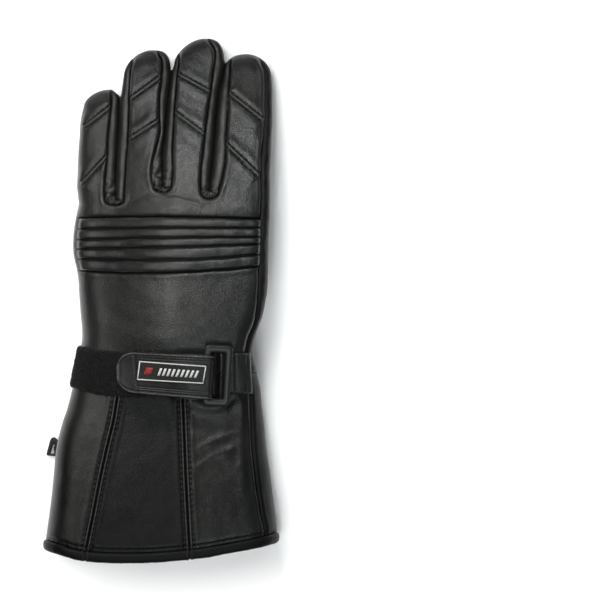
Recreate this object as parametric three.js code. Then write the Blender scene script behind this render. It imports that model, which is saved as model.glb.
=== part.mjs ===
// Left-hand motorcycle glove with a flared cuff, lying back up. Millimetres, +Z up, fingers to +Y.
// The little finger is at -X and the index finger at +X. The thumb is folded under the palm.
import * as THREE from 'three';

// wall and gap sizes
const WALL = 2.6;
const SEAM_GAP = 0.19;
const PALM_GAP_SCALE = 1.6;
const LAYER_GAP = 0.35;
const EDGE_LIFT = 0.22;
const ROUNDNESS = 2.3;
const PALM_INSET = 4.6;
const THUMB_LIFT = 17.6;

// lift by the thumb under the palm: where it starts and ends, across and along
const LIFT_X_START = -47;
const LIFT_X_FULL = 13;
const LIFT_TIP_END = 156;
const LIFT_FINGER_FULL = 66;
const LIFT_HAND_FULL = -15;
const LIFT_CUFF_END = -82;
const CROWN = 2.4;

// half thickness and roll radius of the edges along the glove
const BODY = [
  { y: 163, half: 9.6, roll: 11.2 },
  { y: 110, half: 10.4, roll: 11.5 },
  { y: 66, half: 11.5, roll: 11.8 },
  { y: 31, half: 13, roll: 12.5 },
  { y: -20, half: 13.4, roll: 13 },
  { y: -44, half: 13.6, roll: 13.5 },
  { y: -90, half: 15.6, roll: 16 },
  { y: -160, half: 18.6, roll: 19.5 },
];

// outline of the hand and cuff, left and right, from the crotches to past the hem
const HAND = [
  { y: 59.6, left: -51.1, right: 67.6 },
  { y: 51, left: -52.2, right: 67.4 },
  { y: 42.3, left: -52.6, right: 67 },
  { y: 31.1, left: -52.6, right: 66.6 },
  { y: 23.7, left: -52, right: 66.4 },
  { y: 16.2, left: -51.2, right: 66.4 },
  { y: 5.1, left: -50.8, right: 65.8 },
  { y: -2.4, left: -50.2, right: 64.5 },
  { y: -9.8, left: -49.6, right: 63 },
  { y: -17.2, left: -48.9, right: 60.2 },
  { y: -24.7, left: -49, right: 57.7 },
  { y: -32.1, left: -50.4, right: 56.6 },
  { y: -44.5, left: -53, right: 58.6 },
  { y: -54.4, left: -54.9, right: 60.8 },
  { y: -65.6, left: -57.6, right: 62 },
  { y: -76.8, left: -61.3, right: 63.3 },
  { y: -91.6, left: -64.8, right: 64.5 },
  { y: -106.5, left: -66.2, right: 67 },
  { y: -121.4, left: -67.5, right: 68.9 },
  { y: -136.3, left: -69.4, right: 70.7 },
  { y: -151.8, left: -71.9, right: 72.4 },
  { y: -168, left: -74.6, right: 74.2 },
];

// fingers: the outline of each at rows along it, then its rounded tip
const FINGERS = {
  little: {
    rows: [
      { y: 70.2, left: -52.4, right: -28.2 },
      { y: 79.5, left: -52, right: -28 },
      { y: 90, left: -51.6, right: -27.5 },
      { y: 101.2, left: -50.8, right: -26.9 },
      { y: 111.1, left: -50.2, right: -26.4 },
      { y: 120.4, left: -48.3, right: -26.1 },
    ],
    tip: { x: -32.8, y: 130.9, leftPower: 1.75, rightPower: 4 },
  },
  ring: {
    rows: [
      { y: 70.2, left: -27.6, right: 1.3 },
      { y: 79.5, left: -27.4, right: 1.2 },
      { y: 90, left: -27, right: 1 },
      { y: 101.2, left: -26.4, right: 2.1 },
      { y: 111.1, left: -25.9, right: 3 },
      { y: 120.4, left: -25.6, right: 3.8 },
      { y: 130.3, left: -24.4, right: 4.8 },
      { y: 139.6, left: -23.3, right: 5.8 },
    ],
    tip: { x: -6.4, y: 155.4, leftPower: 1.75, rightPower: 3.4 },
  },
  middle: {
    rows: [
      { y: 70.2, left: 1.8, right: 30.3 },
      { y: 79.5, left: 1.7, right: 31.3 },
      { y: 90, left: 1.5, right: 32.5 },
      { y: 101.2, left: 2.6, right: 33.3 },
      { y: 111.1, left: 3.5, right: 34 },
      { y: 120.4, left: 4.3, right: 34.8 },
      { y: 130.3, left: 5.3, right: 36 },
      { y: 139.6, left: 6.4, right: 38 },
      { y: 146.4, left: 8.1, right: 39.1 },
    ],
    tip: { x: 26.7, y: 162.6, leftPower: 1.75, rightPower: 2.9 },
  },
  index: {
    rows: [
      { y: 70.2, left: 30.8, right: 67.6 },
      { y: 79.5, left: 31.8, right: 67.6 },
      { y: 90, left: 33, right: 68.2 },
      { y: 101.2, left: 33.8, right: 68.5 },
      { y: 111.1, left: 34.5, right: 68.9 },
      { y: 120.4, left: 35.3, right: 68.9 },
      { y: 130.3, left: 36.5, right: 68.9 },
      { y: 139.6, left: 38.6, right: 68.2 },
    ],
    tip: { x: 53.4, y: 153, leftPower: 2.4, rightPower: 1.85 },
  },
};

// closed end of the gap between two fingers, and the stitched U round it on the back of the hand
const CROTCHES = {
  little_ring: { x: -27.9, y: 63.6, drop: 4.1, leftWidth: 6.2, rightWidth: 4.6 },
  ring_middle: { x: 1.5, y: 70.2, drop: 2.9, leftWidth: 5.4, rightWidth: 4.8 },
  middle_index: { x: 30.4, y: 67.8, drop: 4.6, leftWidth: 4.6, rightWidth: 4.9 },
};
const CROTCH_RADIUS = 0.27;

// seams of the finger backs, from the crotch to the fingertip
const SEAMS = {
  littleLeft: [
    { y: 60.6, x: -51.3 }, { y: 70.2, x: -52.4 }, { y: 79.5, x: -52 }, { y: 101.2, x: -50.8 },
    { y: 111.1, x: -50.2 }, { y: 120.4, x: -48.3 }, { y: 124.5, x: -45.9 },
  ],
  littleRight: [
    { y: 63, x: -34.1 }, { y: 70.2, x: -34.4 }, { y: 81.3, x: -33.6 }, { y: 90, x: -32.7 },
    { y: 103, x: -32.2 }, { y: 111.1, x: -31.4 }, { y: 119.8, x: -30.7 }, { y: 125.6, x: -30.6 },
    { y: 130.8, x: -31.4 },
  ],
  ringLeft: [
    { y: 62.7, x: -23.3 }, { y: 68.3, x: -22.9 }, { y: 78.9, x: -22.3 }, { y: 90, x: -21.7 },
    { y: 102.4, x: -20.6 }, { y: 111.1, x: -20.3 }, { y: 128.5, x: -20.1 }, { y: 141.5, x: -19.4 },
    { y: 150, x: -17.9 },
  ],
  ringRight: [
    { y: 70.8, x: -3.9 }, { y: 77, x: -5.5 }, { y: 81, x: -5.3 }, { y: 89.1, x: -3.7 },
    { y: 100.9, x: -0.5 }, { y: 105.5, x: 0.1 }, { y: 115.4, x: -0.5 }, { y: 128.5, x: -0.3 },
    { y: 140.6, x: 1 }, { y: 148.9, x: 0.6 }, { y: 154.7, x: -2.4 },
  ],
  middleLeft: [
    { y: 71.5, x: 6.3 }, { y: 77, x: 7.1 }, { y: 90, x: 7.3 }, { y: 95.6, x: 7.3 },
    { y: 120.4, x: 8.2 }, { y: 134, x: 9.3 }, { y: 144, x: 10.1 }, { y: 153.3, x: 11 },
  ],
  middleRight: [
    { y: 67, x: 25.9 }, { y: 72, x: 25.2 }, { y: 82, x: 25.6 }, { y: 94.4, x: 27.1 },
    { y: 109.2, x: 28.6 }, { y: 120.4, x: 30 }, { y: 133.4, x: 32 }, { y: 142.7, x: 32.8 },
    { y: 149.2, x: 33.9 }, { y: 156.4, x: 33.1 }, { y: 162.3, x: 28.9 },
  ],
  indexLeft: [
    { y: 67.8, x: 35.5 }, { y: 77, x: 38.5 }, { y: 89.4, x: 40.2 }, { y: 101.2, x: 40.3 },
    { y: 117.9, x: 41.4 }, { y: 126, x: 41.6 }, { y: 136.5, x: 42.2 }, { y: 149.6, x: 42.6 },
  ],
  indexRight: [
    { y: -44.5, x: 54 }, { y: -32, x: 53 }, { y: -22, x: 55.2 }, { y: -15, x: 58.4 },
    { y: 0, x: 60.6 }, { y: 20, x: 61.4 }, { y: 50, x: 62.4 }, { y: 62.1, x: 63 },
    { y: 77, x: 62.7 }, { y: 89.4, x: 63 }, { y: 101.2, x: 64.3 }, { y: 117.9, x: 65.2 },
    { y: 134, x: 65.2 }, { y: 142.7, x: 64.2 }, { y: 150.6, x: 61.1 },
  ],
};

// rows of each finger's back: where the row meets its left and right seam, the height of the tuck's
// ridge on it, and how far it follows the round of the tip
const FINGER_ROWS = {
  little: [
    { left: 60.6, right: 63, ridge: 0, round: 0 },
    { left: 69.4, right: 76, ridge: 0, round: 0 },
    { left: 70.3, right: 88.2, ridge: 0, round: 0 },
    { left: 71.8, right: 89.7, ridge: 1, round: 0 },
    { left: 73.3, right: 91.2, ridge: 0, round: 0 },
    { left: 88, right: 104, ridge: 0, round: 0 },
    { left: 105.3, right: 118.6, ridge: 0, round: 0 },
    { left: 106.8, right: 120.1, ridge: 1, round: 0 },
    { left: 108.3, right: 121.6, ridge: 0, round: 0 },
    { left: 114.5, right: 126, ridge: 0, round: 0.35 },
    { left: 119.8, right: 128.8, ridge: 0, round: 0.75 },
    { left: 123.3, right: 130.3, ridge: 0, round: 0.95 },
    { left: 124.5, right: 130.8, ridge: 0, round: 1 },
  ],
  ring: [
    { left: 62.7, right: 70.8, ridge: 0, round: 0 },
    { left: 80, right: 88, ridge: 0, round: 0 },
    { left: 98, right: 110.2, ridge: 0, round: 0 },
    { left: 99.5, right: 111.7, ridge: 1, round: 0 },
    { left: 101, right: 113.2, ridge: 0, round: 0 },
    { left: 112, right: 125, ridge: 0, round: 0 },
    { left: 123, right: 136.9, ridge: 0, round: 0 },
    { left: 124.5, right: 138.4, ridge: 1, round: 0 },
    { left: 126, right: 139.9, ridge: 0, round: 0 },
    { left: 138, right: 147, ridge: 0, round: 0.35 },
    { left: 145, right: 151.4, ridge: 0, round: 0.75 },
    { left: 148.8, right: 154, ridge: 0, round: 0.95 },
    { left: 150, right: 154.7, ridge: 0, round: 1 },
  ],
  middle: [
    { left: 71.5, right: 67, ridge: 0, round: 0 },
    { left: 92, right: 82, ridge: 0, round: 0 },
    { left: 115.5, right: 100.8, ridge: 0, round: 0 },
    { left: 117, right: 102.3, ridge: 1, round: 0 },
    { left: 118.5, right: 103.8, ridge: 0, round: 0 },
    { left: 129, right: 115.5, ridge: 0, round: 0 },
    { left: 139.7, right: 127.8, ridge: 0, round: 0 },
    { left: 141.2, right: 129.3, ridge: 1, round: 0 },
    { left: 142.7, right: 130.8, ridge: 0, round: 0 },
    { left: 148, right: 146, ridge: 0, round: 0.35 },
    { left: 151.3, right: 156, ridge: 0, round: 0.75 },
    { left: 152.9, right: 161, ridge: 0, round: 0.95 },
    { left: 153.3, right: 162.3, ridge: 0, round: 1 },
  ],
  index: [
    { left: 67.8, right: 62.1, ridge: 0, round: 0 },
    { left: 82, right: 69, ridge: 0, round: 0 },
    { left: 96.2, right: 77.6, ridge: 0, round: 0 },
    { left: 97.7, right: 79.1, ridge: 1, round: 0 },
    { left: 99.2, right: 80.6, ridge: 0, round: 0 },
    { left: 113, right: 96, ridge: 0, round: 0 },
    { left: 127.4, right: 110.5, ridge: 0, round: 0 },
    { left: 128.9, right: 112, ridge: 1, round: 0 },
    { left: 130.4, right: 113.5, ridge: 0, round: 0 },
    { left: 140, right: 134, ridge: 0, round: 0.35 },
    { left: 146, right: 144.5, ridge: 0, round: 0.75 },
    { left: 148.9, right: 149.6, ridge: 0, round: 0.95 },
    { left: 149.6, right: 150.6, ridge: 0, round: 1 },
  ],
};
const RIDGE_HEIGHT = 1.1;

// knuckle pad: its grooves and ribs, each at its left end, middle and right end
const PAD_LINES = [
  { left: 50.6, middle: 51.2, right: 49.9, height: 0 },
  { left: 47.2, middle: 47.9, right: 47.2, height: 2.6 },
  { left: 43.8, middle: 44.6, right: 44.6, height: 0.6 },
  { left: 40.6, middle: 41.6, right: 41.7, height: 2.6 },
  { left: 37.3, middle: 38.6, right: 38.8, height: 0.6 },
  { left: 34.4, middle: 35.6, right: 36.8, height: 2.6 },
  { left: 31.6, middle: 32.7, right: 34.8, height: 0.6 },
  { left: 28.7, middle: 28.7, right: 31.4, height: 2.8 },
  { left: 25.8, middle: 24.7, right: 28.1, height: 0.6 },
  { left: 22.2, middle: 20.9, right: 24.6, height: 2.8 },
  { left: 18.6, middle: 17.1, right: 21.2, height: 0 },
];
const PAD_COLUMNS = [0, 0.006, 0.03, 0.08, 0.16, 0.28, 0.42, 0.56, 0.7, 0.82, 0.92, 0.975, 1];

// columns of each patch, as shares of its width
const LITTLE_COLUMNS = [0, 0.05, 0.2, 0.45, 0.72, 1];
const FINGER_COLUMNS = [0, 0.22, 0.5, 0.78, 1];
const CROTCH_STEPS = [0.17, 0.38, 0.62, 0.83];
const BAND_STEPS = [1, 0.45, 0.08];
const WRIST_COLUMNS = [0, 0.006, 0.035, 0.1, 0.2, 0.33, 0.47, 0.61, 0.74, 0.85, 0.93, 1];
const WRIST_ROWS = 7;
const HAND_ROWS = 3;
const PALM_ROWS = 11;
const CUFF_ROWS = 9;
const WRIST_Y = -44.5;

// seams of the cuff's back, from the wrist to the hem
const CUFF_SEAMS = {
  little: [
    { y: -44.5, x: -24.1 }, { y: -58.8, x: -26.6 }, { y: -74.3, x: -29.1 }, { y: -89.8, x: -32.8 },
    { y: -111.5, x: -37.5 }, { y: -133.8, x: -41.8 }, { y: -159.8, x: -47.1 },
  ],
  middle: [
    { y: -44.5, x: 12.4 }, { y: -60.6, x: 13.7 }, { y: -111.5, x: 15.8 }, { y: -158, x: 18.3 },
  ],
  index: [
    { y: -44.5, x: 53.8 }, { y: -58.8, x: 55.6 }, { y: -74.3, x: 56.3 }, { y: -89.8, x: 56.9 },
    { y: -105.3, x: 58.4 }, { y: -130.7, x: 62 }, { y: -144.3, x: 64.9 }, { y: -160, x: 67.5 },
  ],
};

// line of the hem across the glove
const HEM = [
  { x: -75, y: -147.6 }, { x: -62.2, y: -150.8 }, { x: -50.4, y: -153.9 }, { x: -33.8, y: -155.6 },
  { x: -6.8, y: -155.6 }, { x: 24.8, y: -152.8 }, { x: 44.1, y: -149.5 }, { x: 64.5, y: -145.8 },
  { x: 75, y: -143 },
];
const BINDING_LENGTH = 6.25;
const BINDING_THICKNESS = 4.4;

// thumb under the palm
const THUMB = {
  tip: { x: 27.5, y: 55 },
  root: { x: 40.2, y: 3.5 },
  tipHalfWidth: 11.5,
  rootHalfWidth: 13.2,
  height: 17.2,
  tipLength: 11,
};
const THUMB_HOLE = { halfAcross: 11.6, halfAlong: 7.2 };

// strap, loop tape, patch, buckle, anchor and hook
const STRAP_THICKNESS = 1.9;
const STRAP_TIP_X = -27.4;
const STRAP_ROUND = 9.5;
const TAPE_THICKNESS = 1.2;
const BUCKLE_THICKNESS = 3;
const STRAP_HEIGHTS = [
  { x: -27.4, under: 1.95 },
  { x: -12, under: 2 },
  { x: 2, under: 3 },
  { x: 16, under: 5.9 },
  { x: 27, under: 6.3 },
];

// colours
const LEATHER = { color: 0x17181a, roughness: 0.52, metalness: 0 };
const CUFF_LEATHER = { color: 0x131415, roughness: 0.56, metalness: 0 };
const LOOP_FUZZ = { color: 0x0e0e0f, roughness: 0.95, metalness: 0 };
const STRAP_LEATHER = { color: 0x161718, roughness: 0.6, metalness: 0 };
const PATCH = { color: 0x0d0d0e, roughness: 0.6, metalness: 0 };
const PLASTIC = { color: 0x0c0c0d, roughness: 0.48, metalness: 0 };

function mix(a, b, t) {
  return a + (b - a) * t;
}

function smoothStep(start, end, value) {
  const t = Math.min(Math.max((value - start) / (end - start), 0), 1);
  return t * t * (3 - 2 * t);
}

// smooth curve through a table: rows in rising or falling order of their key column
function along(rows, key, column, at) {
  const sorted = rows[0][key] <= rows[rows.length - 1][key] ? rows : [...rows].reverse();
  const last = sorted.length - 1;
  if (at <= sorted[0][key]) return sorted[0][column];
  if (at >= sorted[last][key]) return sorted[last][column];
  let i = 0;
  while (at > sorted[i + 1][key]) i += 1;
  const slope = (a, b) => (sorted[b][column] - sorted[a][column]) / (sorted[b][key] - sorted[a][key]);
  const h = sorted[i + 1][key] - sorted[i][key];
  const t = (at - sorted[i][key]) / h;
  const here = slope(i, i + 1);
  const before = i > 0 ? slope(i - 1, i + 1) : here;
  const after = i + 2 <= last ? slope(i, i + 2) : here;
  const a = sorted[i][column];
  const b = sorted[i + 1][column];
  const t2 = t * t;
  const t3 = t2 * t;
  const start = (2 * t3 - 3 * t2 + 1) * a + (t3 - 2 * t2 + t) * h * before;
  const finish = (3 * t2 - 2 * t3) * b + (t3 - t2) * h * after;
  return start + finish;
}

// one side of a finger's outline from its base to the top of its tip, as points in plan
function fingerSide(finger, side) {
  const { rows, tip } = finger;
  const power = side === 'left' ? tip.leftPower : tip.rightPower;
  const base = rows[0].y;
  const shoulder = rows[rows.length - 1];
  const points = [];
  const straightSteps = 16;
  for (let i = 0; i < straightSteps; i += 1) {
    const y = mix(base, shoulder.y, i / straightSteps);
    points.push([along(rows, 'y', side, y), y]);
  }
  const roundSteps = 14;
  for (let i = 0; i <= roundSteps; i += 1) {
    const angle = (i / roundSteps) * Math.PI * 0.5;
    const across = Math.cos(angle) ** (2 / power);
    const up = Math.sin(angle) ** (2 / power);
    points.push([mix(tip.x, shoulder[side], across), mix(shoulder.y, tip.y, up)]);
  }
  return points;
}

// half circle round the closed end of a gap
function crotchEnd(crotch) {
  const points = [];
  const steps = 4;
  for (let i = 0; i <= steps; i += 1) {
    const angle = Math.PI + (i / steps) * Math.PI;
    const x = crotch.x + Math.cos(angle) * CROTCH_RADIUS;
    points.push([x, crotch.y + Math.sin(angle) * CROTCH_RADIUS]);
  }
  return points;
}

// whole outline in plan: up the little-finger edge, round every finger, down the index edge
function wholeOutline() {
  const points = [];
  const left = [...HAND].reverse();
  const steps = 4;
  for (let i = 0; i + 1 < left.length; i += 1) {
    for (let k = 0; k < steps; k += 1) {
      const y = mix(left[i].y, left[i + 1].y, k / steps);
      points.push([along(HAND, 'y', 'left', y), y]);
    }
  }
  const names = ['little', 'ring', 'middle', 'index'];
  const crotches = [CROTCHES.little_ring, CROTCHES.ring_middle, CROTCHES.middle_index];
  names.forEach((name, i) => {
    points.push(...fingerSide(FINGERS[name], 'left').slice(0, -1));
    points.push(...fingerSide(FINGERS[name], 'right').reverse());
    if (i < crotches.length) points.push(...crotchEnd(crotches[i]));
  });
  for (let i = 0; i + 1 < HAND.length; i += 1) {
    for (let k = 0; k < steps; k += 1) {
      const y = mix(HAND[i].y, HAND[i + 1].y, k / steps);
      points.push([along(HAND, 'y', 'right', y), y]);
    }
  }
  return points;
}
const OUTLINE = wholeOutline();

// nearest point of the outline: distance, the point, the outward direction and the place along it
function nearest(x, y) {
  let best = { distance: Infinity };
  for (let i = 0; i + 1 < OUTLINE.length; i += 1) {
    const [ax, ay] = OUTLINE[i];
    const dx = OUTLINE[i + 1][0] - ax;
    const dy = OUTLINE[i + 1][1] - ay;
    const length2 = dx * dx + dy * dy;
    if (length2 < 1e-12) continue;
    const t = Math.min(Math.max(((x - ax) * dx + (y - ay) * dy) / length2, 0), 1);
    const px = ax + dx * t;
    const py = ay + dy * t;
    const distance = Math.hypot(x - px, y - py);
    if (distance < best.distance) {
      const length = Math.sqrt(length2);
      best = { distance, x: px, y: py, place: i + t, nx: -dy / length, ny: dx / length };
    }
  }
  if (best.distance > 0.05) {
    best.nx = (best.x - x) / best.distance;
    best.ny = (best.y - y) / best.distance;
  }
  return best;
}

// height by which the thumb lifts the glove
function lift(x, y) {
  const across = smoothStep(LIFT_X_START, LIFT_X_FULL, x);
  const fingers = smoothStep(LIFT_TIP_END, LIFT_FINGER_FULL, y);
  const cuff = smoothStep(LIFT_CUFF_END, LIFT_HAND_FULL, y);
  return THUMB_LIFT * across * fingers * cuff;
}

// a point of the glove's outer skin: side 1 is the back, -1 the palm side, 0 the very edge
// returns the point and the direction that leads outward from it
function skin(x, y, side, onEdge = false) {
  const near = nearest(x, y);
  const half = along(BODY, 'y', 'half', y);
  const roll = along(BODY, 'y', 'roll', y);
  const share = onEdge ? 0 : Math.min(near.distance / roll, 1);
  const middle = half + lift(x, y);
  let rise = (1 - (1 - share) ** ROUNDNESS) ** (1 / ROUNDNESS);
  if (side === 0) rise = 0;
  const shown = side === 0 ? 0 : Math.max(rise * half, EDGE_LIFT);
  let z = middle + side * shown;
  if (side > 0) {
    const left = along(HAND, 'y', 'left', y);
    const right = along(HAND, 'y', 'right', y);
    const across = Math.min(Math.abs((2 * x - left - right) / (right - left)), 1);
    const hand = smoothStep(80, 45, y);
    z += CROWN * (1 - across * across) * hand * rise;
  }
  const flat = (1 - share) ** (ROUNDNESS - 1) / roll;
  const up = side * rise ** (ROUNDNESS - 1) / half;
  const direction = new THREE.Vector3(near.nx * flat, near.ny * flat, up).normalize();
  return { point: new THREE.Vector3(x, y, z), direction };
}

// the same point moved outward by a height
function raised(place, height) {
  return { point: place.point.clone().addScaledVector(place.direction, height), direction: place.direction };
}

// a sheet: places (outer point and direction) and faces of three or four of them
class Sheet {
  constructor() {
    this.places = [];
    this.faces = [];
  }

  add(place) {
    this.places.push(place);
    return this.places.length - 1;
  }

  quad(a, b, c, d) {
    this.faces.push([a, b, c, d]);
  }

  // joins rows of equal length; rows run so that the outside is seen with columns to the right
  // and rows going up
  weave(rows, skip = () => false) {
    for (let r = 0; r + 1 < rows.length; r += 1) {
      for (let c = 0; c + 1 < rows[r].length; c += 1) {
        if (!skip(r, c)) this.quad(rows[r][c], rows[r][c + 1], rows[r + 1][c + 1], rows[r + 1][c]);
      }
    }
  }
}

// closed wall of a given thickness from a sheet, its inner face moved in along the directions
function wallFrom(sheet, thickness = WALL) {
  const count = sheet.places.length;
  const positions = [];
  sheet.places.forEach(({ point }) => positions.push(point.x, point.y, point.z));
  sheet.places.forEach(({ point, direction }, i) => {
    const depth = typeof thickness === 'function' ? thickness(i) : thickness;
    const inner = point.clone().addScaledVector(direction, -depth);
    positions.push(inner.x, inner.y, inner.z);
  });
  const index = [];
  const edges = new Map();
  const corner = (i) => sheet.places[i].point;
  sheet.faces.forEach((face) => {
    const [a, b, c, d] = face;
    let triangles = [[a, b, c]];
    if (face.length === 4) {
      const even = corner(a).distanceTo(corner(c)) <= corner(b).distanceTo(corner(d));
      triangles = even ? [[a, b, c], [a, c, d]] : [[a, b, d], [b, c, d]];
    }
    triangles.forEach(([p, q, r]) => {
      index.push(p, q, r, p + count, r + count, q + count);
    });
    face.forEach((from, k) => {
      const to = face[(k + 1) % face.length];
      edges.set(`${from},${to}`, [from, to]);
    });
  });
  edges.forEach(([from, to]) => {
    if (edges.has(`${to},${from}`)) return;
    index.push(to, from, from + count, to, from + count, to + count);
  });
  const geometry = new THREE.BufferGeometry();
  geometry.setAttribute('position', new THREE.Float32BufferAttribute(positions, 3));
  geometry.setIndex(index);
  return geometry;
}

const group = new THREE.Group();
group.name = 'motorcycle_glove';

function addPiece(name, geometry, look) {
  geometry.computeVertexNormals();
  const material = new THREE.MeshStandardMaterial(look);
  material.name = name;
  const mesh = new THREE.Mesh(geometry, material);
  mesh.name = name;
  group.add(mesh);
}

// seam stations: each finger's seam points at its rows, with the outline point next to each
function seamStations(finger, side) {
  const name = `${finger}${side === 'left' ? 'Left' : 'Right'}`;
  const rows = FINGER_ROWS[finger];
  return rows.map((row, i) => {
    const y = row[side];
    const x = along(SEAMS[name], 'y', 'x', y);
    const near = nearest(x, y);
    const edge = { x: near.x, y: near.y };
    const tip = i === rows.length - 1;
    return tip ? { ...edge, edge, near, tip } : { x, y, edge, near, tip };
  });
}

const STATIONS = {};
Object.keys(FINGERS).forEach((finger) => {
  STATIONS[finger] = { left: seamStations(finger, 'left'), right: seamStations(finger, 'right') };
});

// the U round a crotch, between the base of one finger's right seam and the next one's left seam
function crotchStations(crotch, from, to) {
  return CROTCH_STEPS.map((share) => {
    const angle = Math.PI * share;
    const width = share < 0.5 ? crotch.leftWidth : crotch.rightWidth;
    const bottom = crotch.y - crotch.drop;
    const level = share < 0.5 ? from.y : to.y;
    const x = crotch.x - Math.cos(angle) * width;
    const y = mix(level, bottom, Math.sin(angle) ** 0.8);
    const near = nearest(x, y);
    return { x, y, edge: { x: near.x, y: near.y }, near, tip: false };
  });
}

const GAPS = [
  { name: 'little_ring', left: 'little', right: 'ring' },
  { name: 'ring_middle', left: 'ring', right: 'middle' },
  { name: 'middle_index', left: 'middle', right: 'index' },
];
GAPS.forEach((gap) => {
  const from = STATIONS[gap.left].right[0];
  const to = STATIONS[gap.right].left[0];
  gap.bottom = crotchStations(CROTCHES[gap.name], from, to);
});

// palm-side seam of a station: the strip is rolled a little, so this seam keeps its own distance from
// the outline
function setPalmSeam(station, inset) {
  const dx = station.x - station.edge.x;
  const dy = station.y - station.edge.y;
  const length = Math.max(Math.hypot(dx, dy), 1e-6);
  const wanted = Math.min(inset, length);
  station.palm = {
    x: station.edge.x + (dx / length) * wanted,
    y: station.edge.y + (dy / length) * wanted,
  };
}

// directions square to a seam, pointing away from the side strip; a path runs from one fingertip
// down to the crotch and up to the next fingertip
function setNormals(path, pick, store) {
  path.forEach((station, i) => {
    const before = pick(path[Math.max(i - 1, 0)]);
    const after = pick(path[Math.min(i + 1, path.length - 1)]);
    const dx = after.x - before.x;
    const dy = after.y - before.y;
    const length = Math.hypot(dx, dy);
    station[store] = { x: dy / length, y: -dx / length };
  });
}

function insetFor(side) {
  return side === 'left' ? PALM_INSET + 0.8 : PALM_INSET - 0.8;
}

function prepare(path) {
  setNormals(path, (station) => station, 'normal');
  setNormals(path, (station) => station.palm, 'palmNormal');
}

Object.values(STATIONS).forEach(({ left, right }) => {
  left.forEach((station) => setPalmSeam(station, insetFor('left')));
  right.forEach((station) => setPalmSeam(station, insetFor('right')));
});
GAPS.forEach((gap) => {
  gap.bottom.forEach((station) => setPalmSeam(station, PALM_INSET));
  const down = [...STATIONS[gap.left].right].reverse();
  gap.path = [...down, ...gap.bottom, ...STATIONS[gap.right].left];
  prepare(gap.path);
});
const indexPath = [...STATIONS.index.right].reverse();
const indexLevels = [58, 54, ...[0, 2, 4, 6, 8, 10].map((line) => PAD_LINES[line].right)];
const wristTop = indexLevels[indexLevels.length - 1];
for (let r = 1; r <= WRIST_ROWS; r += 1) {
  indexLevels.push(mix(wristTop - SEAM_GAP, WRIST_Y + SEAM_GAP, r / WRIST_ROWS));
}
indexLevels.forEach((y) => {
  const x = along(SEAMS.indexRight, 'y', 'x', y);
  const station = { x, y, edge: { x: along(HAND, 'y', 'right', y), y } };
  setPalmSeam(station, insetFor('right'));
  indexPath.push(station);
});
prepare(indexPath);

// plan point of a seam moved across it: a positive amount leads away from the side strip
function seamPoint(station, side, amount) {
  const base = side > 0 ? station : station.palm;
  const normal = side > 0 ? station.normal : station.palmNormal;
  const gap = side > 0 ? amount : amount * PALM_GAP_SCALE;
  return { x: base.x + normal.x * gap, y: base.y + normal.y * gap };
}

// one row of a finger strip, between its two seam points, following the round of the tip
function fingerRow(finger, rowIndex, side, columns) {
  const rows = FINGER_ROWS[finger];
  const { ridge, round } = rows[rowIndex];
  const pair = ['left', 'right'].map((edge) => {
    const station = STATIONS[finger][edge][rowIndex];
    if (finger === 'little' && edge === 'left') return { x: station.edge.x, y: station.edge.y };
    return station.tip ? station.edge : seamPoint(station, side, SEAM_GAP);
  });
  const last = rows.length - 1;
  const startPlace = STATIONS[finger].left[last].near.place;
  const endPlace = STATIONS[finger].right[last].near.place;
  return columns.map((u) => {
    const place = mix(startPlace, endPlace, u);
    const i = Math.min(Math.floor(place), OUTLINE.length - 2);
    const tipX = mix(OUTLINE[i][0], OUTLINE[i + 1][0], place - i);
    const tipY = mix(OUTLINE[i][1], OUTLINE[i + 1][1], place - i);
    const chordX = mix(STATIONS[finger].left[last].x, STATIONS[finger].right[last].x, u);
    const chordY = mix(STATIONS[finger].left[last].y, STATIONS[finger].right[last].y, u);
    const x = mix(pair[0].x, pair[1].x, u) + round * (tipX - chordX);
    const y = mix(pair[0].y, pair[1].y, u) + round * (tipY - chordY);
    const onEdge = rowIndex === last || (finger === 'little' && u === 0);
    const place3 = skin(x, y, side, onEdge);
    const fade = Math.min(u, 1 - u) < 0.01 ? 0 : 1;
    return side > 0 ? raised(place3, ridge * RIDGE_HEIGHT * fade) : place3;
  });
}

// the row of plan points across the hand through every crotch, with the columns of each finger
function crotchRow(side) {
  const row = [];
  const order = ['little', 'ring', 'middle', 'index'];
  order.forEach((finger, i) => {
    const columns = finger === 'little' ? LITTLE_COLUMNS : FINGER_COLUMNS;
    fingerRow(finger, 0, side, columns).forEach(({ point }, k) => {
      row.push({ x: point.x, y: point.y, finger, column: k });
    });
    if (i < GAPS.length) {
      GAPS[i].bottom.forEach((station) => {
        const p = seamPoint(station, side, SEAM_GAP);
        row.push({ x: p.x, y: p.y, finger: null, column: 0 });
      });
    }
  });
  return row;
}

// right boundary of the back and of the palm along the hand
function backRight(y) {
  return along(SEAMS.indexRight, 'y', 'x', y) - SEAM_GAP;
}

function palmRight(y) {
  return along(HAND, 'y', 'right', y) - insetFor('right') - SEAM_GAP;
}

function handLeft(y) {
  return along(HAND, 'y', 'left', y);
}

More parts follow.
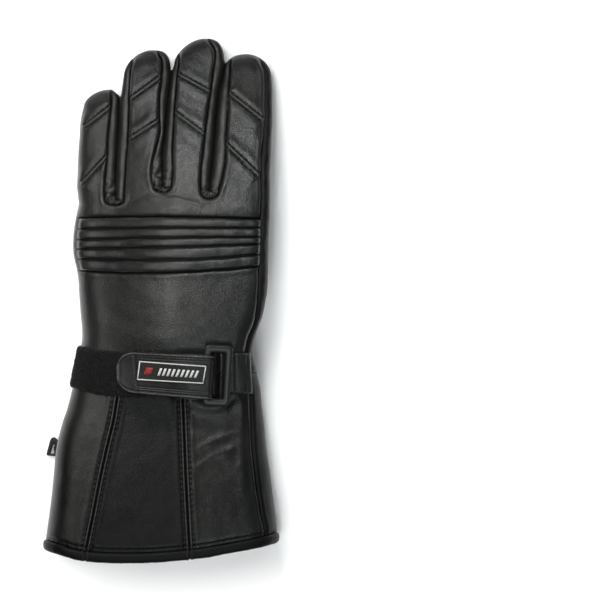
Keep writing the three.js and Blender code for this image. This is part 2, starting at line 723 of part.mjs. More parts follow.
// comb: four finger strips on the hand part; rows of the hand part go from the bottom line up to
// the crotch row
function comb(side, bottomLine, rowCount, spread) {
  const sheet = new Sheet();
  const crotch = crotchRow(side);
  const leftTop = crotch[0];
  const rightTop = crotch[crotch.length - 1];
  const rightAt = side > 0 ? backRight : palmRight;
  const rows = [];
  const spots = [];
  for (let r = 0; r < rowCount; r += 1) {
    const t = r / rowCount;
    const line = [];
    const plan = [];
    crotch.forEach((top, c) => {
      const share = (top.x - leftTop.x) / (rightTop.x - leftTop.x);
      const y = mix(bottomLine(share), top.y, t ** spread);
      const x = mix(handLeft(y), rightAt(y), share);
      plan.push({ x, y });
      line.push({ x, y, c });
    });
    spots.push(plan);
    rows.push(line.map(({ x, y, c }) => sheet.add(skin(x, y, side, c === 0))));
  }
  const top = crotch.map((p, c) => sheet.add(skin(p.x, p.y, side, c === 0)));
  rows.push(top);
  spots.push(crotch);
  const fingerRows = {};
  Object.keys(FINGERS).forEach((finger) => {
    const columns = finger === 'little' ? LITTLE_COLUMNS : FINGER_COLUMNS;
    const start = crotch.findIndex((p) => p.finger === finger);
    const own = [top.slice(start, start + columns.length)];
    for (let r = 1; r < FINGER_ROWS[finger].length; r += 1) {
      own.push(fingerRow(finger, r, side, columns).map((place) => sheet.add(place)));
    }
    fingerRows[finger] = own;
  });
  return { sheet, rows, spots, fingerRows };
}

// turns rows round for the palm side, where the outside is seen from below
function weaveSide(sheet, rows, side, skip) {
  if (side > 0) sheet.weave(rows, skip);
  else sheet.weave(rows.map((row) => [...row].reverse()), skip);
}

function padLine(line, share) {
  const { left, middle, right } = PAD_LINES[line];
  const bow = middle - (left + right) * 0.5;
  return mix(left, right, share) + bow * 4 * share * (1 - share);
}

// back of the hand and fingers
{
  const built = comb(1, (share) => padLine(0, share) + SEAM_GAP, HAND_ROWS, 1);
  built.sheet.weave(built.rows);
  Object.values(built.fingerRows).forEach((rows) => built.sheet.weave(rows));
  addPiece('hand_back', wallFrom(built.sheet), LEATHER);
}

// knuckle pad of five ribs
{
  const sheet = new Sheet();
  const rows = PAD_LINES.map((line, r) => {
    const last = PAD_LINES.length - 1;
    const trim = r === 0 ? -SEAM_GAP : (r === last ? SEAM_GAP : 0);
    return PAD_COLUMNS.map((share, c) => {
      const y = padLine(r, share) + trim;
      const x = mix(handLeft(y), backRight(y), share);
      const ends = smoothStep(0, 0.05, share) * smoothStep(1, 0.95, share);
      const soft = c === 0 ? 0.25 : Math.max(ends, 0.35);
      const height = c === PAD_COLUMNS.length - 1 ? 0 : line.height * soft;
      return sheet.add(raised(skin(x, y, 1, c === 0), height));
    });
  });
  sheet.weave(rows.reverse());
  const inner = [];
  rows.forEach((row, r) => row.forEach((id) => { inner[id] = r; }));
  const heights = sheet.places.map(({ point }, id) => id);
  const line = (id) => PAD_LINES[PAD_LINES.length - 1 - inner[id]];
  addPiece('knuckle_pad', wallFrom(sheet, (id) => WALL + line(heights[id]).height * 0.6), LEATHER);
}

// plain back panel from the ribs to the wrist seam
{
  const sheet = new Sheet();
  const rows = [];
  for (let r = 0; r <= WRIST_ROWS; r += 1) {
    rows.push(WRIST_COLUMNS.map((share, c) => {
      const y = mix(WRIST_Y + SEAM_GAP, padLine(PAD_LINES.length - 1, share) - SEAM_GAP, r / WRIST_ROWS);
      const x = mix(handLeft(y), backRight(y), share);
      return sheet.add(skin(x, y, 1, c === 0));
    }));
  }
  sheet.weave(rows);
  addPiece('wrist_back', wallFrom(sheet), LEATHER);
}

// places across a side strip at a station: from the back seam over the edge to the palm seam
function bandPlaces(station) {
  const back = seamPoint(station, 1, -SEAM_GAP);
  const palm = seamPoint(station, -1, -SEAM_GAP);
  const places = BAND_STEPS.map((s) => {
    return skin(mix(station.edge.x, back.x, s), mix(station.edge.y, back.y, s), 1);
  });
  places.push(skin(station.edge.x, station.edge.y, 0, true));
  [...BAND_STEPS].reverse().forEach((s) => {
    places.push(skin(mix(station.edge.x, palm.x, s), mix(station.edge.y, palm.y, s), -1));
  });
  return places;
}

function sideStrip(name, path) {
  const sheet = new Sheet();
  const rows = path.map((station) => {
    return bandPlaces(station).map((place) => sheet.add(place)).reverse();
  });
  sheet.weave(rows);
  addPiece(name, wallFrom(sheet), LEATHER);
}

GAPS.forEach((gap) => sideStrip(`fourchette_${gap.name}`, gap.path.slice(1, -1)));
sideStrip('index_side_strip', indexPath.slice(1));

// palm with the four finger fronts and the thumb's hole
const thumbWay = new THREE.Vector2(THUMB.root.x - THUMB.tip.x, THUMB.root.y - THUMB.tip.y);
const thumbLength = thumbWay.length();
thumbWay.normalize();
const thumbAcross = new THREE.Vector2(-thumbWay.y, thumbWay.x);
const MOUTH_INNER = 0.3;
const mouth = {
  x: THUMB.root.x + thumbWay.x * (MOUTH_INNER + THUMB.height * 0.5),
  y: THUMB.root.y + thumbWay.y * (MOUTH_INNER + THUMB.height * 0.5),
};
{
  const built = comb(-1, () => WRIST_Y + SEAM_GAP, PALM_ROWS, 1);
  const { sheet, rows, spots, fingerRows } = built;
  const inHole = (x, y, grow) => {
    const dx = x - mouth.x;
    const dy = y - mouth.y;
    const across = (dx * thumbAcross.x + dy * thumbAcross.y) / (THUMB_HOLE.halfAcross + grow);
    const down = (dx * thumbWay.x + dy * thumbWay.y) / (THUMB_HOLE.halfAlong + grow);
    return { across, down, inside: Math.hypot(across, down) < 1 };
  };
  const cut = new Set();
  spots.slice(0, -1).forEach((line, r) => {
    line.slice(0, -1).forEach((spot, c) => {
      const x = (spot.x + spots[r + 1][c + 1].x) * 0.5;
      const y = (spot.y + spots[r + 1][c + 1].y) * 0.5;
      if (inHole(x, y, 0).inside) cut.add(`${r},${c}`);
    });
  });
  const onRim = new Set();
  cut.forEach((key) => {
    const [r, c] = key.split(',').map(Number);
    [[r, c], [r, c + 1], [r + 1, c], [r + 1, c + 1]].forEach(([i, k]) => onRim.add(`${i},${k}`));
  });
  onRim.forEach((key) => {
    const [r, c] = key.split(',').map(Number);
    const spot = spots[r][c];
    const { across, down } = inHole(spot.x, spot.y, 0);
    const length = Math.max(Math.hypot(across, down), 1e-6);
    const a = (across / length) * THUMB_HOLE.halfAcross;
    const b = (down / length) * THUMB_HOLE.halfAlong;
    const x = mouth.x + thumbAcross.x * a + thumbWay.x * b;
    const y = mouth.y + thumbAcross.y * a + thumbWay.y * b;
    sheet.places[rows[r][c]] = skin(x, y, -1);
  });
  weaveSide(sheet, rows, -1, (r, c) => cut.has(`${r},${rows[r].length - 2 - c}`));
  Object.values(fingerRows).forEach((own) => weaveSide(sheet, own, -1));
  addPiece('palm', wallFrom(sheet), LEATHER);
}

// thumb: a closed tube along the floor that turns up into the hole of the palm
{
  const sheet = new Sheet();
  const around = 14;
  const up = new THREE.Vector3(0, 0, 1);
  const way = new THREE.Vector3(thumbWay.x, thumbWay.y, 0);
  const across = new THREE.Vector3(thumbAcross.x, thumbAcross.y, 0);
  const half = THUMB.height * 0.5;
  const rings = [];
  const ring = (centre, rise, halfWidth, halfHeight, forward) => {
    const ids = [];
    for (let k = 0; k < around; k += 1) {
      const angle = ((k + 0.5) / around) * Math.PI * 2;
      const c = Math.cos(angle);
      const s = Math.sin(angle);
      const point = centre.clone()
        .addScaledVector(across, c * halfWidth)
        .addScaledVector(rise, s * halfHeight);
      const radial = new THREE.Vector3()
        .addScaledVector(across, c / THUMB.rootHalfWidth)
        .addScaledVector(rise, s / half)
        .normalize();
      const direction = radial.multiplyScalar(Math.sqrt(1 - forward * forward))
        .addScaledVector(way, -forward)
        .normalize();
      ids.push(sheet.add({ point, direction }));
    }
    rings.push(ids);
  };
  const tip = new THREE.Vector3(THUMB.tip.x, THUMB.tip.y, half);
  const pole = sheet.add({ point: tip.clone(), direction: way.clone().negate() });
  [18, 42, 66, 90].forEach((degrees) => {
    const angle = (degrees * Math.PI) / 180;
    const back = THUMB.tipLength * (1 - Math.cos(angle));
    const size = Math.sin(angle);
    const centre = tip.clone().addScaledVector(way, back);
    ring(centre, up, THUMB.tipHalfWidth * size, half * size, Math.cos(angle));
  });
  const straight = thumbLength - THUMB.tipLength;
  [0.3, 0.65, 1].forEach((share) => {
    const centre = tip.clone().addScaledVector(way, THUMB.tipLength + straight * share);
    ring(centre, up, mix(THUMB.tipHalfWidth, THUMB.rootHalfWidth, share), half, 0);
  });
  const pivot = tip.clone().addScaledVector(way, thumbLength).setZ(THUMB.height + MOUTH_INNER);
  [18, 36, 54, 72, 90].forEach((degrees) => {
    const angle = (degrees * Math.PI) / 180;
    const rise = up.clone().multiplyScalar(Math.cos(angle)).addScaledVector(way, -Math.sin(angle));
    const centre = pivot.clone().addScaledVector(rise, -(MOUTH_INNER + half));
    if (degrees === 90) centre.z -= MOUTH_INNER * 0.5;
    ring(centre, rise, THUMB.rootHalfWidth, half, 0);
  });
  for (let k = 0; k < around; k += 1) {
    const next = (k + 1) % around;
    sheet.faces.push([pole, rings[0][next], rings[0][k]]);
    for (let r = 0; r + 1 < rings.length; r += 1) {
      sheet.quad(rings[r][k], rings[r][next], rings[r + 1][next], rings[r + 1][k]);
    }
  }
  addPiece('thumb', wallFrom(sheet), LEATHER);
}

// cuff: a column is a way down the cuff, given by its side and its place across at any level
function hemY(x) {
  return along(HEM, 'x', 'y', x);
}

function cuffColumn(side, xAt, edge = false) {
  return { side, xAt, edge };
}

const cuffLeft = (y) => along(HAND, 'y', 'left', y);
const cuffRight = (y) => along(HAND, 'y', 'right', y);
const cuffSeam = (name) => (y) => along(CUFF_SEAMS[name], 'y', 'x', y);
const UNDER_SEAM = 3.6;

function cuffSheet(columns) {
  const sheet = new Sheet();
  const rows = [];
  for (let r = 0; r <= CUFF_ROWS; r += 1) {
    const share = r / CUFF_ROWS;
    rows.push(columns.map(({ side, xAt, edge }) => {
      const hem = hemY(xAt(-152)) + SEAM_GAP;
      const y = mix(hem, WRIST_Y - SEAM_GAP, share);
      return sheet.add(skin(xAt(y), y, edge ? 0 : side, edge));
    }));
  }
  sheet.weave(rows);
  return sheet;
}

const between = (from, to, share) => (y) => mix(from(y), to(y), share);
const beside = (line, amount) => (y) => line(y) + amount;

const backLittleColumns = [
  cuffColumn(-1, beside(cuffLeft, UNDER_SEAM - SEAM_GAP)),
  cuffColumn(-1, beside(cuffLeft, 1)),
  cuffColumn(0, cuffLeft, true),
  cuffColumn(1, beside(cuffLeft, 1)),
  cuffColumn(1, beside(cuffLeft, 4)),
  cuffColumn(1, between(cuffLeft, cuffSeam('little'), 0.34)),
  cuffColumn(1, between(cuffLeft, cuffSeam('little'), 0.58)),
  cuffColumn(1, between(cuffLeft, cuffSeam('little'), 0.8)),
  cuffColumn(1, beside(cuffSeam('little'), -SEAM_GAP)),
];
const backMiddleColumns = [
  cuffColumn(1, beside(cuffSeam('little'), SEAM_GAP)),
  ...[0.2, 0.4, 0.6, 0.8].map((share) => {
    return cuffColumn(1, between(cuffSeam('little'), cuffSeam('middle'), share));
  }),
  cuffColumn(1, beside(cuffSeam('middle'), -SEAM_GAP)),
];
const backIndexColumns = [
  cuffColumn(1, beside(cuffSeam('middle'), SEAM_GAP)),
  ...[0.22, 0.43, 0.62, 0.79, 0.91].map((share) => {
    return cuffColumn(1, between(cuffSeam('middle'), cuffSeam('index'), share));
  }),
  cuffColumn(1, beside(cuffSeam('index'), -SEAM_GAP)),
];
const palmColumns = [
  cuffColumn(1, beside(cuffSeam('index'), SEAM_GAP)),
  cuffColumn(1, between(cuffSeam('index'), cuffRight, 0.55)),
  cuffColumn(1, between(cuffSeam('index'), cuffRight, 0.88)),
  cuffColumn(0, cuffRight, true),
  cuffColumn(-1, beside(cuffRight, -0.8)),
  cuffColumn(-1, beside(cuffRight, -3.5)),
  cuffColumn(-1, beside(cuffRight, -8)),
  cuffColumn(-1, beside(cuffRight, -13.5)),
  cuffColumn(-1, beside(cuffRight, -20)),
  ...[0.74, 0.55, 0.38].map((share) => cuffColumn(-1, between(cuffLeft, cuffRight, share))),
  cuffColumn(-1, beside(cuffLeft, 20)),
  cuffColumn(-1, beside(cuffLeft, 13.5)),
  cuffColumn(-1, beside(cuffLeft, 8)),
  cuffColumn(-1, beside(cuffLeft, UNDER_SEAM + SEAM_GAP)),
];
addPiece('gauntlet_back_little', wallFrom(cuffSheet(backLittleColumns)), CUFF_LEATHER);
addPiece('gauntlet_back_middle', wallFrom(cuffSheet(backMiddleColumns)), CUFF_LEATHER);
addPiece('gauntlet_back_index', wallFrom(cuffSheet(backIndexColumns)), CUFF_LEATHER);
addPiece('gauntlet_palm', wallFrom(cuffSheet(palmColumns)), CUFF_LEATHER);

// a closed tube from a ring of frames: centre, and two axes with their half sizes
function ringTube(frames, sides, halfA, halfB) {
  const positions = [];
  const index = [];
  frames.forEach(({ centre, a, b }) => {
    for (let k = 0; k < sides; k += 1) {
      const angle = ((k + 0.5) / sides) * Math.PI * 2;
      const c = Math.cos(angle);
      const s = Math.sin(angle);
      const point = centre.clone()
        .addScaledVector(a, Math.sign(c) * Math.abs(c) ** 0.75 * halfA)
        .addScaledVector(b, Math.sign(s) * Math.abs(s) ** 0.75 * halfB);
      positions.push(point.x, point.y, point.z);
    }
  });
  frames.forEach((frame, i) => {
    const next = (i + 1) % frames.length;
    for (let k = 0; k < sides; k += 1) {
      const other = (k + 1) % sides;
      const p = i * sides + k;
      const q = i * sides + other;
      const r = next * sides + other;
      const s = next * sides + k;
      index.push(p, q, r, p, r, s);
    }
  });
  const geometry = new THREE.BufferGeometry();
  geometry.setAttribute('position', new THREE.Float32BufferAttribute(positions, 3));
  geometry.setIndex(index);
  return geometry;
}

// rolled binding round the mouth of the cuff
{
  const inner = [backLittleColumns, backMiddleColumns, backIndexColumns, palmColumns];
  const frames = [];
  inner.forEach((columns) => {
    columns.slice(0, -1).forEach(({ side, xAt, edge }) => {
      const y = hemY(xAt(-152)) - SEAM_GAP * 2 - BINDING_LENGTH * 0.5;
      const { point, direction } = skin(xAt(y), y, edge ? 0 : side, edge);
      const centre = point.clone().addScaledVector(direction, -WALL * 0.5);
      centre.z = Math.max(centre.z, BINDING_THICKNESS * 0.5);
      const along3 = new THREE.Vector3(0, 1, 0);
      frames.push({ centre, a: along3, b: direction });
    });
  });
  const geometry = ringTube(frames, 8, BINDING_LENGTH * 0.54, BINDING_THICKNESS * 0.54);
  addPiece('cuff_binding', geometry, CUFF_LEATHER);
}

// fuzzy loop tape round the little-finger edge, its places raised off the skin
const TAPE_TOP = [{ x: -56, y: -28.6 }, { x: -51, y: -28.8 }, { x: -39, y: -31.1 }, { x: -8, y: -32.4 }];
const TAPE_BOTTOM = [{ x: -56, y: -53 }, { x: -44.8, y: -56.3 }, { x: -30.2, y: -59.1 }, { x: -8, y: -60.4 }];
const TAPE_END_X = -10;
{
  const sheet = new Sheet();
  const columns = [
    { side: -1, inset: 4.6 }, { side: -1, inset: 2.2 }, { side: -1, inset: 0.7 }, { side: 0, inset: 0 },
    { side: 1, inset: 0.7 }, { side: 1, inset: 2.2 }, { side: 1, inset: 5 }, { side: 1, inset: 9 },
    { side: 1, inset: 14 }, { side: 1, inset: 20 }, { side: 1, inset: 27 }, { side: 1, inset: 34 },
    { side: 1, inset: null },
  ];
  const rows = [];
  const steps = 7;
  for (let r = 0; r <= steps; r += 1) {
    rows.push(columns.map(({ side, inset }) => {
      const middle = cuffLeft(-44.5) + (inset === null ? 0 : inset);
      const at = inset === null ? TAPE_END_X : middle;
      const y = mix(along(TAPE_BOTTOM, 'x', 'y', at), along(TAPE_TOP, 'x', 'y', at), r / steps);
      const x = inset === null ? TAPE_END_X : cuffLeft(y) + inset;
      const place = skin(x, y, side, side === 0);
      return sheet.add(raised(place, LAYER_GAP + TAPE_THICKNESS));
    }));
  }
  sheet.weave(rows);
  addPiece('loop_tape', wallFrom(sheet, TAPE_THICKNESS), LOOP_FUZZ);
}

// buckle: its place on the wrist, its outline and its slope
const BUCKLE = {
  x: 35.1, y: -47.4, width: 18.6, length: 37.6, corner: 4.2,
  leftBar: 4.6, rightBar: 5.1, topBar: 3.8, bottomBar: 4.6, turn: -0.045, under: 2.8,
};
const PATH_ACROSS = [-1, -0.62, -0.2, 0.2, 0.62, 1];
function baseHeight(x, y) {
  return skin(x, y, 1).point.z;
}
const buckleSlope = {
  alongY: (baseHeight(BUCKLE.x, -31) - baseHeight(BUCKLE.x, -64)) / 33,
  acrossX: (baseHeight(42, BUCKLE.y) - baseHeight(28, BUCKLE.y)) / 14,
};
const buckleX = new THREE.Vector3(1, 0, buckleSlope.acrossX).normalize();
const buckleZ = buckleX.clone().cross(new THREE.Vector3(0, 1, buckleSlope.alongY)).normalize();
const buckleY = buckleZ.clone().cross(buckleX);
const buckleLevel = (baseHeight(BUCKLE.x, -31) + baseHeight(BUCKLE.x, -64)) * 0.5;
const buckleAcross = buckleX.clone().multiplyScalar(Math.cos(BUCKLE.turn))
  .addScaledVector(buckleY, Math.sin(BUCKLE.turn));
const buckleDown = buckleY.clone().multiplyScalar(Math.cos(BUCKLE.turn))
  .addScaledVector(buckleX, -Math.sin(BUCKLE.turn));

// a point in the buckle's own frame: across it, along it and above the wrist
function onBuckle(across, alongIt, above) {
  return new THREE.Vector3(BUCKLE.x, BUCKLE.y, buckleLevel)
    .addScaledVector(buckleAcross, across)
    .addScaledVector(buckleDown, alongIt)
    .addScaledVector(buckleZ, above);
}

function roundedRectangle(shape, left, bottom, right, top, corner) {
  shape.moveTo(left + corner, bottom);
  shape.lineTo(right - corner, bottom);
  shape.quadraticCurveTo(right, bottom, right, bottom + corner);
  shape.lineTo(right, top - corner);
  shape.quadraticCurveTo(right, top, right - corner, top);
  shape.lineTo(left + corner, top);
  shape.quadraticCurveTo(left, top, left, top - corner);
  shape.lineTo(left, bottom + corner);
  shape.quadraticCurveTo(left, bottom, left + corner, bottom);
  return shape;
}

{
  const w = BUCKLE.width * 0.5;
  const h = BUCKLE.length * 0.5;
  const bevel = 0.7;
  const outer = [-w + bevel, -h + bevel, w - bevel, h - bevel];
  const shape = roundedRectangle(new THREE.Shape(), ...outer, BUCKLE.corner);
  const slot = [
    -w + BUCKLE.leftBar + bevel * 0,
    -h + BUCKLE.bottomBar,
    w - BUCKLE.rightBar,
    h - BUCKLE.topBar,
  ];
  const grown = [slot[0] - bevel, slot[1] - bevel, slot[2] + bevel, slot[3] + bevel];
  shape.holes.push(roundedRectangle(new THREE.Path(), ...grown, 1.6));
  const geometry = new THREE.ExtrudeGeometry(shape, {
    depth: BUCKLE_THICKNESS - bevel * 2,
    bevelThickness: bevel,
    bevelSize: bevel,
    bevelSegments: 2,
    curveSegments: 4,
  });
  geometry.translate(0, 0, bevel + BUCKLE.under);
  const frame = new THREE.Matrix4().makeBasis(buckleAcross, buckleDown, buckleZ);
  frame.setPosition(BUCKLE.x, BUCKLE.y, buckleLevel);
  geometry.applyMatrix4(frame);
  addPiece('buckle', geometry, PLASTIC);
}

// wrist strap: upper layer from its round tip to the buckle, fold round the inner bar, lower layer
const STRAP_EDGES = [
  { x: -28, top: -32.7, bottom: -57 },
  { x: -19.2, top: -33.5, bottom: -57.1 },
  { x: 16.2, top: -34.6, bottom: -58.4 },
  { x: 34, top: -35.6, bottom: -59.6 },
];
const FOLD = {
  across: -BUCKLE.width * 0.5 + BUCKLE.leftBar - BUCKLE_THICKNESS * 0.5,
  inner: BUCKLE_THICKNESS * 0.5 + 0.5,
  height: BUCKLE.under + BUCKLE_THICKNESS * 0.5,
};
const FOLD_X = BUCKLE.x + FOLD.across;
const LOWER_END_X = 6;
function strapAcross(x, share) {
  const top = along(STRAP_EDGES, 'x', 'top', x);
  const bottom = along(STRAP_EDGES, 'x', 'bottom', x);
  const middle = (top + bottom) * 0.5;
  const reach = STRAP_TIP_X + STRAP_ROUND + 2.5;
  const past = Math.min(Math.max((reach - x) / (reach - STRAP_TIP_X), 0), 1);
  const narrow = (1 - past ** 2.3) ** (1 / 2.3);
  return middle + (top - bottom) * 0.5 * share * Math.max(narrow, 0.3);
}
function strapUnder(x) {
  return along(STRAP_HEIGHTS, 'x', 'under', x);
}

// a point above the wrist that follows the skin at the strap's tip and the buckle at its fold
function strapPlace(x, y, height) {
  const base = skin(x, y, 1);
  const held = smoothStep(4, 24, x);
  const direction = base.direction.clone().lerp(buckleZ, held).normalize();
  const lying = base.point.clone().addScaledVector(base.direction, height);
  const hung = onBuckle(x - BUCKLE.x, y - BUCKLE.y, height);
  return { point: lying.lerp(hung, held), direction };
}
{
  const sheet = new Sheet();
  const path = [];
  [-27.4, -26.2, -23.6, -19.5, -15.4, -9, -2, 5, 12, 19, 25].forEach((x) => {
    path.push({ x, height: strapUnder(x) + STRAP_THICKNESS, angle: 90 });
  });
  const outer = FOLD.inner + STRAP_THICKNESS;
  [90, 60, 30, 0, -30, -60, -90].forEach((degrees) => {
    path.push({ x: FOLD_X, height: FOLD.height, angle: degrees, outer });
  });
  [22, 14, LOWER_END_X].forEach((x) => path.push({ x, height: LAYER_GAP, angle: -90 }));
  const rows = path.map(({ x, height, angle, outer: radius = 0 }) => {
    return PATH_ACROSS.map((share) => {
      const y = strapAcross(x, share);
      const place = strapPlace(x, y, height);
      const turn = (angle * Math.PI) / 180;
      const direction = place.direction.clone().multiplyScalar(Math.sin(turn))
        .addScaledVector(buckleAcross, Math.cos(turn))
        .normalize();
      return sheet.add({ point: place.point.addScaledVector(direction, radius), direction });
    }).reverse();
  });
  sheet.weave(rows);
  addPiece('strap_tab', wallFrom(sheet, STRAP_THICKNESS), STRAP_LEATHER);
}

// small framed patch on the strap
const PATCH_CORNERS = { topLeft: [-13.5, -37.8], topRight: [25.4, -41.1], bottomRight: [24.2, -51.8], bottomLeft: [-14.9, -49.2] };
const PATCH_THICKNESS = 0.7;
{
  const sheet = new Sheet();
  const rows = [];
  for (let r = 0; r <= 2; r += 1) {
    const row = [];
    for (let c = 0; c <= 8; c += 1) {
      const u = c / 8;
      const v = r / 2;
      const spot = [0, 1].map((k) => {
        const bottom = mix(PATCH_CORNERS.bottomLeft[k], PATCH_CORNERS.bottomRight[k], u);
        const top = mix(PATCH_CORNERS.topLeft[k], PATCH_CORNERS.topRight[k], u);
        return mix(bottom, top, v);
      });
      const height = strapUnder(spot[0]) + STRAP_THICKNESS + LAYER_GAP + PATCH_THICKNESS;
      row.push(sheet.add(strapPlace(spot[0], spot[1], height)));
    }
    rows.push(row);
  }
  sheet.weave(rows);
  addPiece('label_patch', wallFrom(sheet, PATCH_THICKNESS), PATCH);
}

// short strap that runs under the buckle's outer bar to the index side
const ANCHOR_THICKNESS = 1.8;
{
  const sheet = new Sheet();
  const rows = [];
  const steps = 5;
  for (let r = 0; r <= steps; r += 1) {
    const share = r / steps;
    const end = mix(56.3, 54.4, share);
    rows.push([0, 0.25, 0.5, 0.72, 0.88, 1].map((u) => {
      const x = mix(40.6, end, u);
      const y = mix(-57.8, -32.6, share);
      return sheet.add(raised(skin(x, y, 1), LAYER_GAP + ANCHOR_THICKNESS));
    }));
  }
  sheet.weave(rows);
  addPiece('anchor_strap', wallFrom(sheet, ANCHOR_THICKNESS), STRAP_LEATHER);
}

// small plastic hook at the little-finger edge of the cuff, and the tab that holds it
const HOOK = { bottom: 1.35, thickness: 2.4, bevel: 0.5 };
{
  const b = HOOK.bevel;
  const shape = new THREE.Shape();
  shape.moveTo(-70.6, -97.2 + b);
  shape.lineTo(-65.8, -97.2 + b);
  shape.quadraticCurveTo(-64.6, -97, -64.5 - b * 0.5, -95.4);
  shape.lineTo(-64.2 - b, -88.2);
  shape.quadraticCurveTo(-64.4, -85.5, -67.2, -85.4 - b);
  shape.quadraticCurveTo(-69, -85.6 - b, -69.8, -88.6);
  shape.lineTo(-71.7 + b, -95.8);
  shape.quadraticCurveTo(-71.8, -97, -70.6, -97.2 + b);
  const slot = new THREE.Path();
  slot.moveTo(-69.4 - b * 0.5, -95.4 - b * 0.5);
  slot.lineTo(-66.9 + b * 0.5, -95.4 - b * 0.5);
  slot.lineTo(-66.6 + b * 0.5, -89.4);
  slot.lineTo(-68.9 - b * 0.5, -89.4);
  slot.lineTo(-69.4 - b * 0.5, -95.4 - b * 0.5);
  shape.holes.push(slot);
  const geometry = new THREE.ExtrudeGeometry(shape, {
    depth: HOOK.thickness - b * 2,
    bevelThickness: b,
    bevelSize: b * 0.8,
    bevelSegments: 1,
    curveSegments: 4,
  });
  geometry.translate(0, 0, HOOK.bottom + b);
  addPiece('cuff_hook', geometry, PLASTIC);
}
const TAB = { left: -68.2, right: -61.8, thickness: 0.6, bottomY: -94.2, topY: -90.9 };
{
  const low = HOOK.bottom - 0.3 - TAB.thickness;
  const high = HOOK.bottom + HOOK.thickness + 0.3 + TAB.thickness;
  const shape = new THREE.Shape();
  shape.moveTo(TAB.left, low);
  shape.lineTo(TAB.right + 2, low);
  shape.lineTo(TAB.right + 2, low + TAB.thickness);
  shape.lineTo(TAB.left + TAB.thickness, low + TAB.thickness);
  shape.lineTo(TAB.left + TAB.thickness, high - TAB.thickness);
  shape.lineTo(TAB.right, high - TAB.thickness);
  shape.lineTo(TAB.right, high);
  shape.lineTo(TAB.left, high);
  shape.lineTo(TAB.left, low);
  const geometry = new THREE.ExtrudeGeometry(shape, { depth: TAB.topY - TAB.bottomY, bevelEnabled: false });
  geometry.rotateX(Math.PI / 2);
  geometry.translate(0, TAB.topY, 0);
  addPiece('hook_tab', geometry, STRAP_LEATHER);
}

export default group;
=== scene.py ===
"""Left-hand leather motorcycle glove lying back up: its looks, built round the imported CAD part.

Shapes are worked out in millimetres as whole arrays and put into meshes in metres.
X runs to the index finger, Y to the fingertips, Z up from the floor.
"""
import math

import bmesh
import bpy
import mathutils
import numpy as np
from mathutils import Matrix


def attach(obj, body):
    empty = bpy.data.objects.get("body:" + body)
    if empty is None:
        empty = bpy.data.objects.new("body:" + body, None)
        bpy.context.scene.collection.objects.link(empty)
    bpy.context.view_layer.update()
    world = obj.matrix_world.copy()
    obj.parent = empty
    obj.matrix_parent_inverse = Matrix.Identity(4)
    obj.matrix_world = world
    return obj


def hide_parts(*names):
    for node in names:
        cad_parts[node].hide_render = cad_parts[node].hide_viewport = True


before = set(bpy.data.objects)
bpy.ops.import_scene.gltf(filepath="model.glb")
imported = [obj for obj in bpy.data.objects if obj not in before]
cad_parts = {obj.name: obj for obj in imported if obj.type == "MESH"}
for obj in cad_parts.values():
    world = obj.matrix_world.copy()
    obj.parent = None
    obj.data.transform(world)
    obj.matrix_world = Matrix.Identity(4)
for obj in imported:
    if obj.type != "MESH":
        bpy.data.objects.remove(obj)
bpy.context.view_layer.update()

MM = 0.001
UP = np.array([0, 0, 1.0])

# wall, seam gaps, edges, lift by the thumb, crown of the back, wrist seam and underside seam
WALL = 2.2
SEAM_GAP = 0.13
PALM_GAP = SEAM_GAP * 1.6
EDGE_LIFT = 0.16
ROUNDNESS = 2.3
PALM_INSET = 4.6
PALM_INSET_LEAN = 0.8
THUMB_LIFT = 17.6
CROWN = 2.4
WRIST_Y = -44.5
UNDER_SEAM = 3.6

# where the lift by the thumb starts and is full: across, towards the fingers, towards the cuff
LIFT_ACROSS = (-47, 13)
LIFT_FINGERS = (156, 66)
LIFT_CUFF = (-82, -15)

# half thickness and roll radius of the edges: (y, half, roll)
BODY = np.array([
    (163, 9.6, 11.2), (110, 10.4, 11.5), (66, 11.5, 11.8), (31, 13, 12.5),
    (-20, 13.4, 13), (-44, 13.6, 13.5), (-90, 15.6, 16), (-160, 18.6, 19.5),
])

# outline of the hand and cuff: (y, left, right)
HAND = np.array([
    (59.6, -51.1, 67.6), (54.7, -52.2, 67.5), (48, -53.6, 67.3), (40, -54.6, 66.9),
    (31.1, -54.7, 66.6), (25, -53.9, 66.4), (19, -52.4, 66.4), (12, -51.4, 66.2),
    (5.1, -51, 65.8), (-2.4, -50.5, 64.5), (-9.8, -49.9, 63), (-17.2, -49.2, 60.2),
    (-24.7, -49.2, 57.7), (-32.1, -50.5, 56.6),
    (-44.5, -53, 59.2), (-54.4, -55, 61.3), (-65.6, -57.8, 62.5), (-76.8, -61.5, 63.8),
    (-91.6, -65, 65.2), (-106.5, -66.5, 67.5), (-121.4, -67.9, 69.4), (-136.3, -69.8, 71.2),
    (-151.8, -72, 72.8), (-168, -74.6, 74.5),
])

